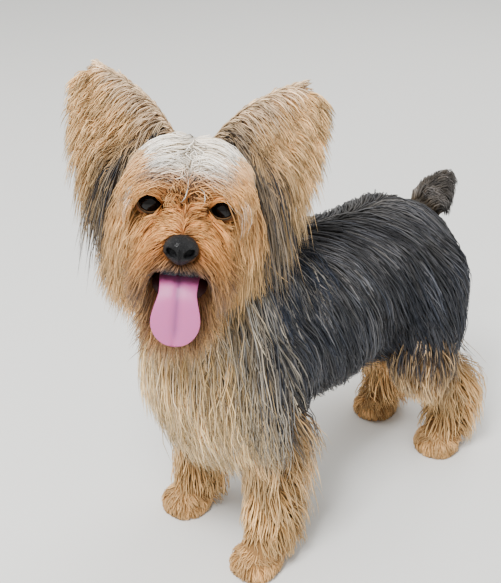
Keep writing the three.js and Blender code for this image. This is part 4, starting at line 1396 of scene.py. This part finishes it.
class OBJECT_OT_terrier_stage(TerrierOperator, bpy.types.Operator):
    """Set the pale floor, the soft light and the camera"""

    bl_idname = "object.terrier_stage"
    bl_label = "Stage"

    def execute(self, context):
        scene = context.scene
        matte, tree = fresh_material("pale_matte_floor")
        pale = {"Base Color": linear(scene.terrier_colours.floor), "Roughness": 0.9}
        finish_material(tree, node(tree, "ShaderNodeBsdfPrincipled", inputs=pale))
        bpy.ops.mesh.primitive_plane_add(size=12.0, location=(0, 0, 0))
        floor = context.object
        floor.name = "floor"
        floor.data.materials.append(matte)
        world = bpy.data.worlds.new("soft_daylight")
        world.use_nodes = True
        sky = world.node_tree.nodes["Background"].inputs
        sky["Color"].default_value = linear(scene.terrier_colours.daylight)
        sky["Strength"].default_value = 1.05
        scene.world = world
        for name, at, size, power in (
            ("key_light", (0.4, -0.9, 1.7), 0.55, 48.0),
            ("fill_light", (-1.4, -0.6, 1.1), 1.4, 9.0),
            ("back_light", (-0.3, 1.4, 1.5), 1.2, 18.0),
            ("eye_light", (0.45, -0.75, 1.05), 0.09, 4.0),
        ):
            lamp = bpy.data.lights.new(name, "AREA")
            lamp.size = size
            lamp.energy = power
            lit = bpy.data.objects.new(name, lamp)
            lit.location = at
            lit.rotation_euler = (Vector(AIM) - lit.location).to_track_quat("-Z", "Y").to_euler()
            scene.collection.objects.link(lit)
        self.add_camera(scene)
        return {"FINISHED"}

    def add_camera(self, scene):
        azimuth, elevation, roll = (math.radians(CAMERA_TURN[k]) for k in ("azimuth", "elevation", "roll"))
        level = np.array([math.cos(azimuth), math.sin(azimuth), 0.0])
        ahead = np.array([math.sin(azimuth), -math.cos(azimuth), 0.0])
        back = math.cos(elevation) * ahead + math.sin(elevation) * np.array([0.0, 0.0, 1.0])
        upright = np.cross(back, level)
        right = math.cos(roll) * level + math.sin(roll) * upright
        up = -math.sin(roll) * level + math.cos(roll) * upright
        lens = bpy.data.cameras.new("camera")
        lens.sensor_width = SENSOR
        lens.lens = FOCAL_PIXELS / max(PICTURE) * SENSOR
        camera = bpy.data.objects.new("camera", lens)
        turn = Matrix(np.stack([right, up, back], 1).tolist()).to_4x4()
        camera.matrix_world = Matrix.Translation(to_part(CAMERA_AT).tolist()) @ turn
        scene.collection.objects.link(camera)
        scene.camera = camera


class VIEW3D_PT_terrier(bpy.types.Panel):
    """Lists the settings and the pieces of the terrier"""

    bl_label = "Terrier"
    bl_idname = "VIEW3D_PT_terrier"
    bl_space_type = "VIEW_3D"
    bl_region_type = "UI"
    bl_category = "Terrier"

    def draw(self, context):
        for group in (context.scene.terrier_coat, context.scene.terrier_skin, context.scene.terrier_colours):
            box = self.layout.box()
            for key in group.__annotations__:
                box.prop(group, key)
        for operator in OPERATORS:
            self.layout.operator(operator.bl_idname)


OPERATORS = (
    OBJECT_OT_terrier_skin,
    OBJECT_OT_terrier_eyes,
    OBJECT_OT_terrier_nose,
    OBJECT_OT_terrier_tongue,
    OBJECT_OT_terrier_claws,
    OBJECT_OT_terrier_head_coat,
    OBJECT_OT_terrier_ear_coat,
    OBJECT_OT_terrier_body_coat,
    OBJECT_OT_terrier_leg_coat,
    OBJECT_OT_terrier_stage,
)
CLASSES = (TerrierColours, TerrierCoat, TerrierSkin) + OPERATORS + (VIEW3D_PT_terrier,)


def register():
    for one in CLASSES:
        bpy.utils.register_class(one)
    bpy.types.Scene.terrier_colours = PointerProperty(type=TerrierColours)
    bpy.types.Scene.terrier_coat = PointerProperty(type=TerrierCoat)
    bpy.types.Scene.terrier_skin = PointerProperty(type=TerrierSkin)


def unregister():
    del bpy.types.Scene.terrier_skin
    del bpy.types.Scene.terrier_coat
    del bpy.types.Scene.terrier_colours
    for one in reversed(CLASSES):
        bpy.utils.unregister_class(one)


def main():
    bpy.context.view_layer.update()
    register()
    bpy.ops.object.terrier_skin()
    bpy.ops.object.terrier_eyes()
    bpy.ops.object.terrier_nose()
    bpy.ops.object.terrier_tongue()
    bpy.ops.object.terrier_claws()
    bpy.ops.object.terrier_head_coat()
    bpy.ops.object.terrier_ear_coat()
    bpy.ops.object.terrier_body_coat()
    bpy.ops.object.terrier_leg_coat()
    bpy.ops.object.terrier_stage()


if __name__ == "__main__":
    main()
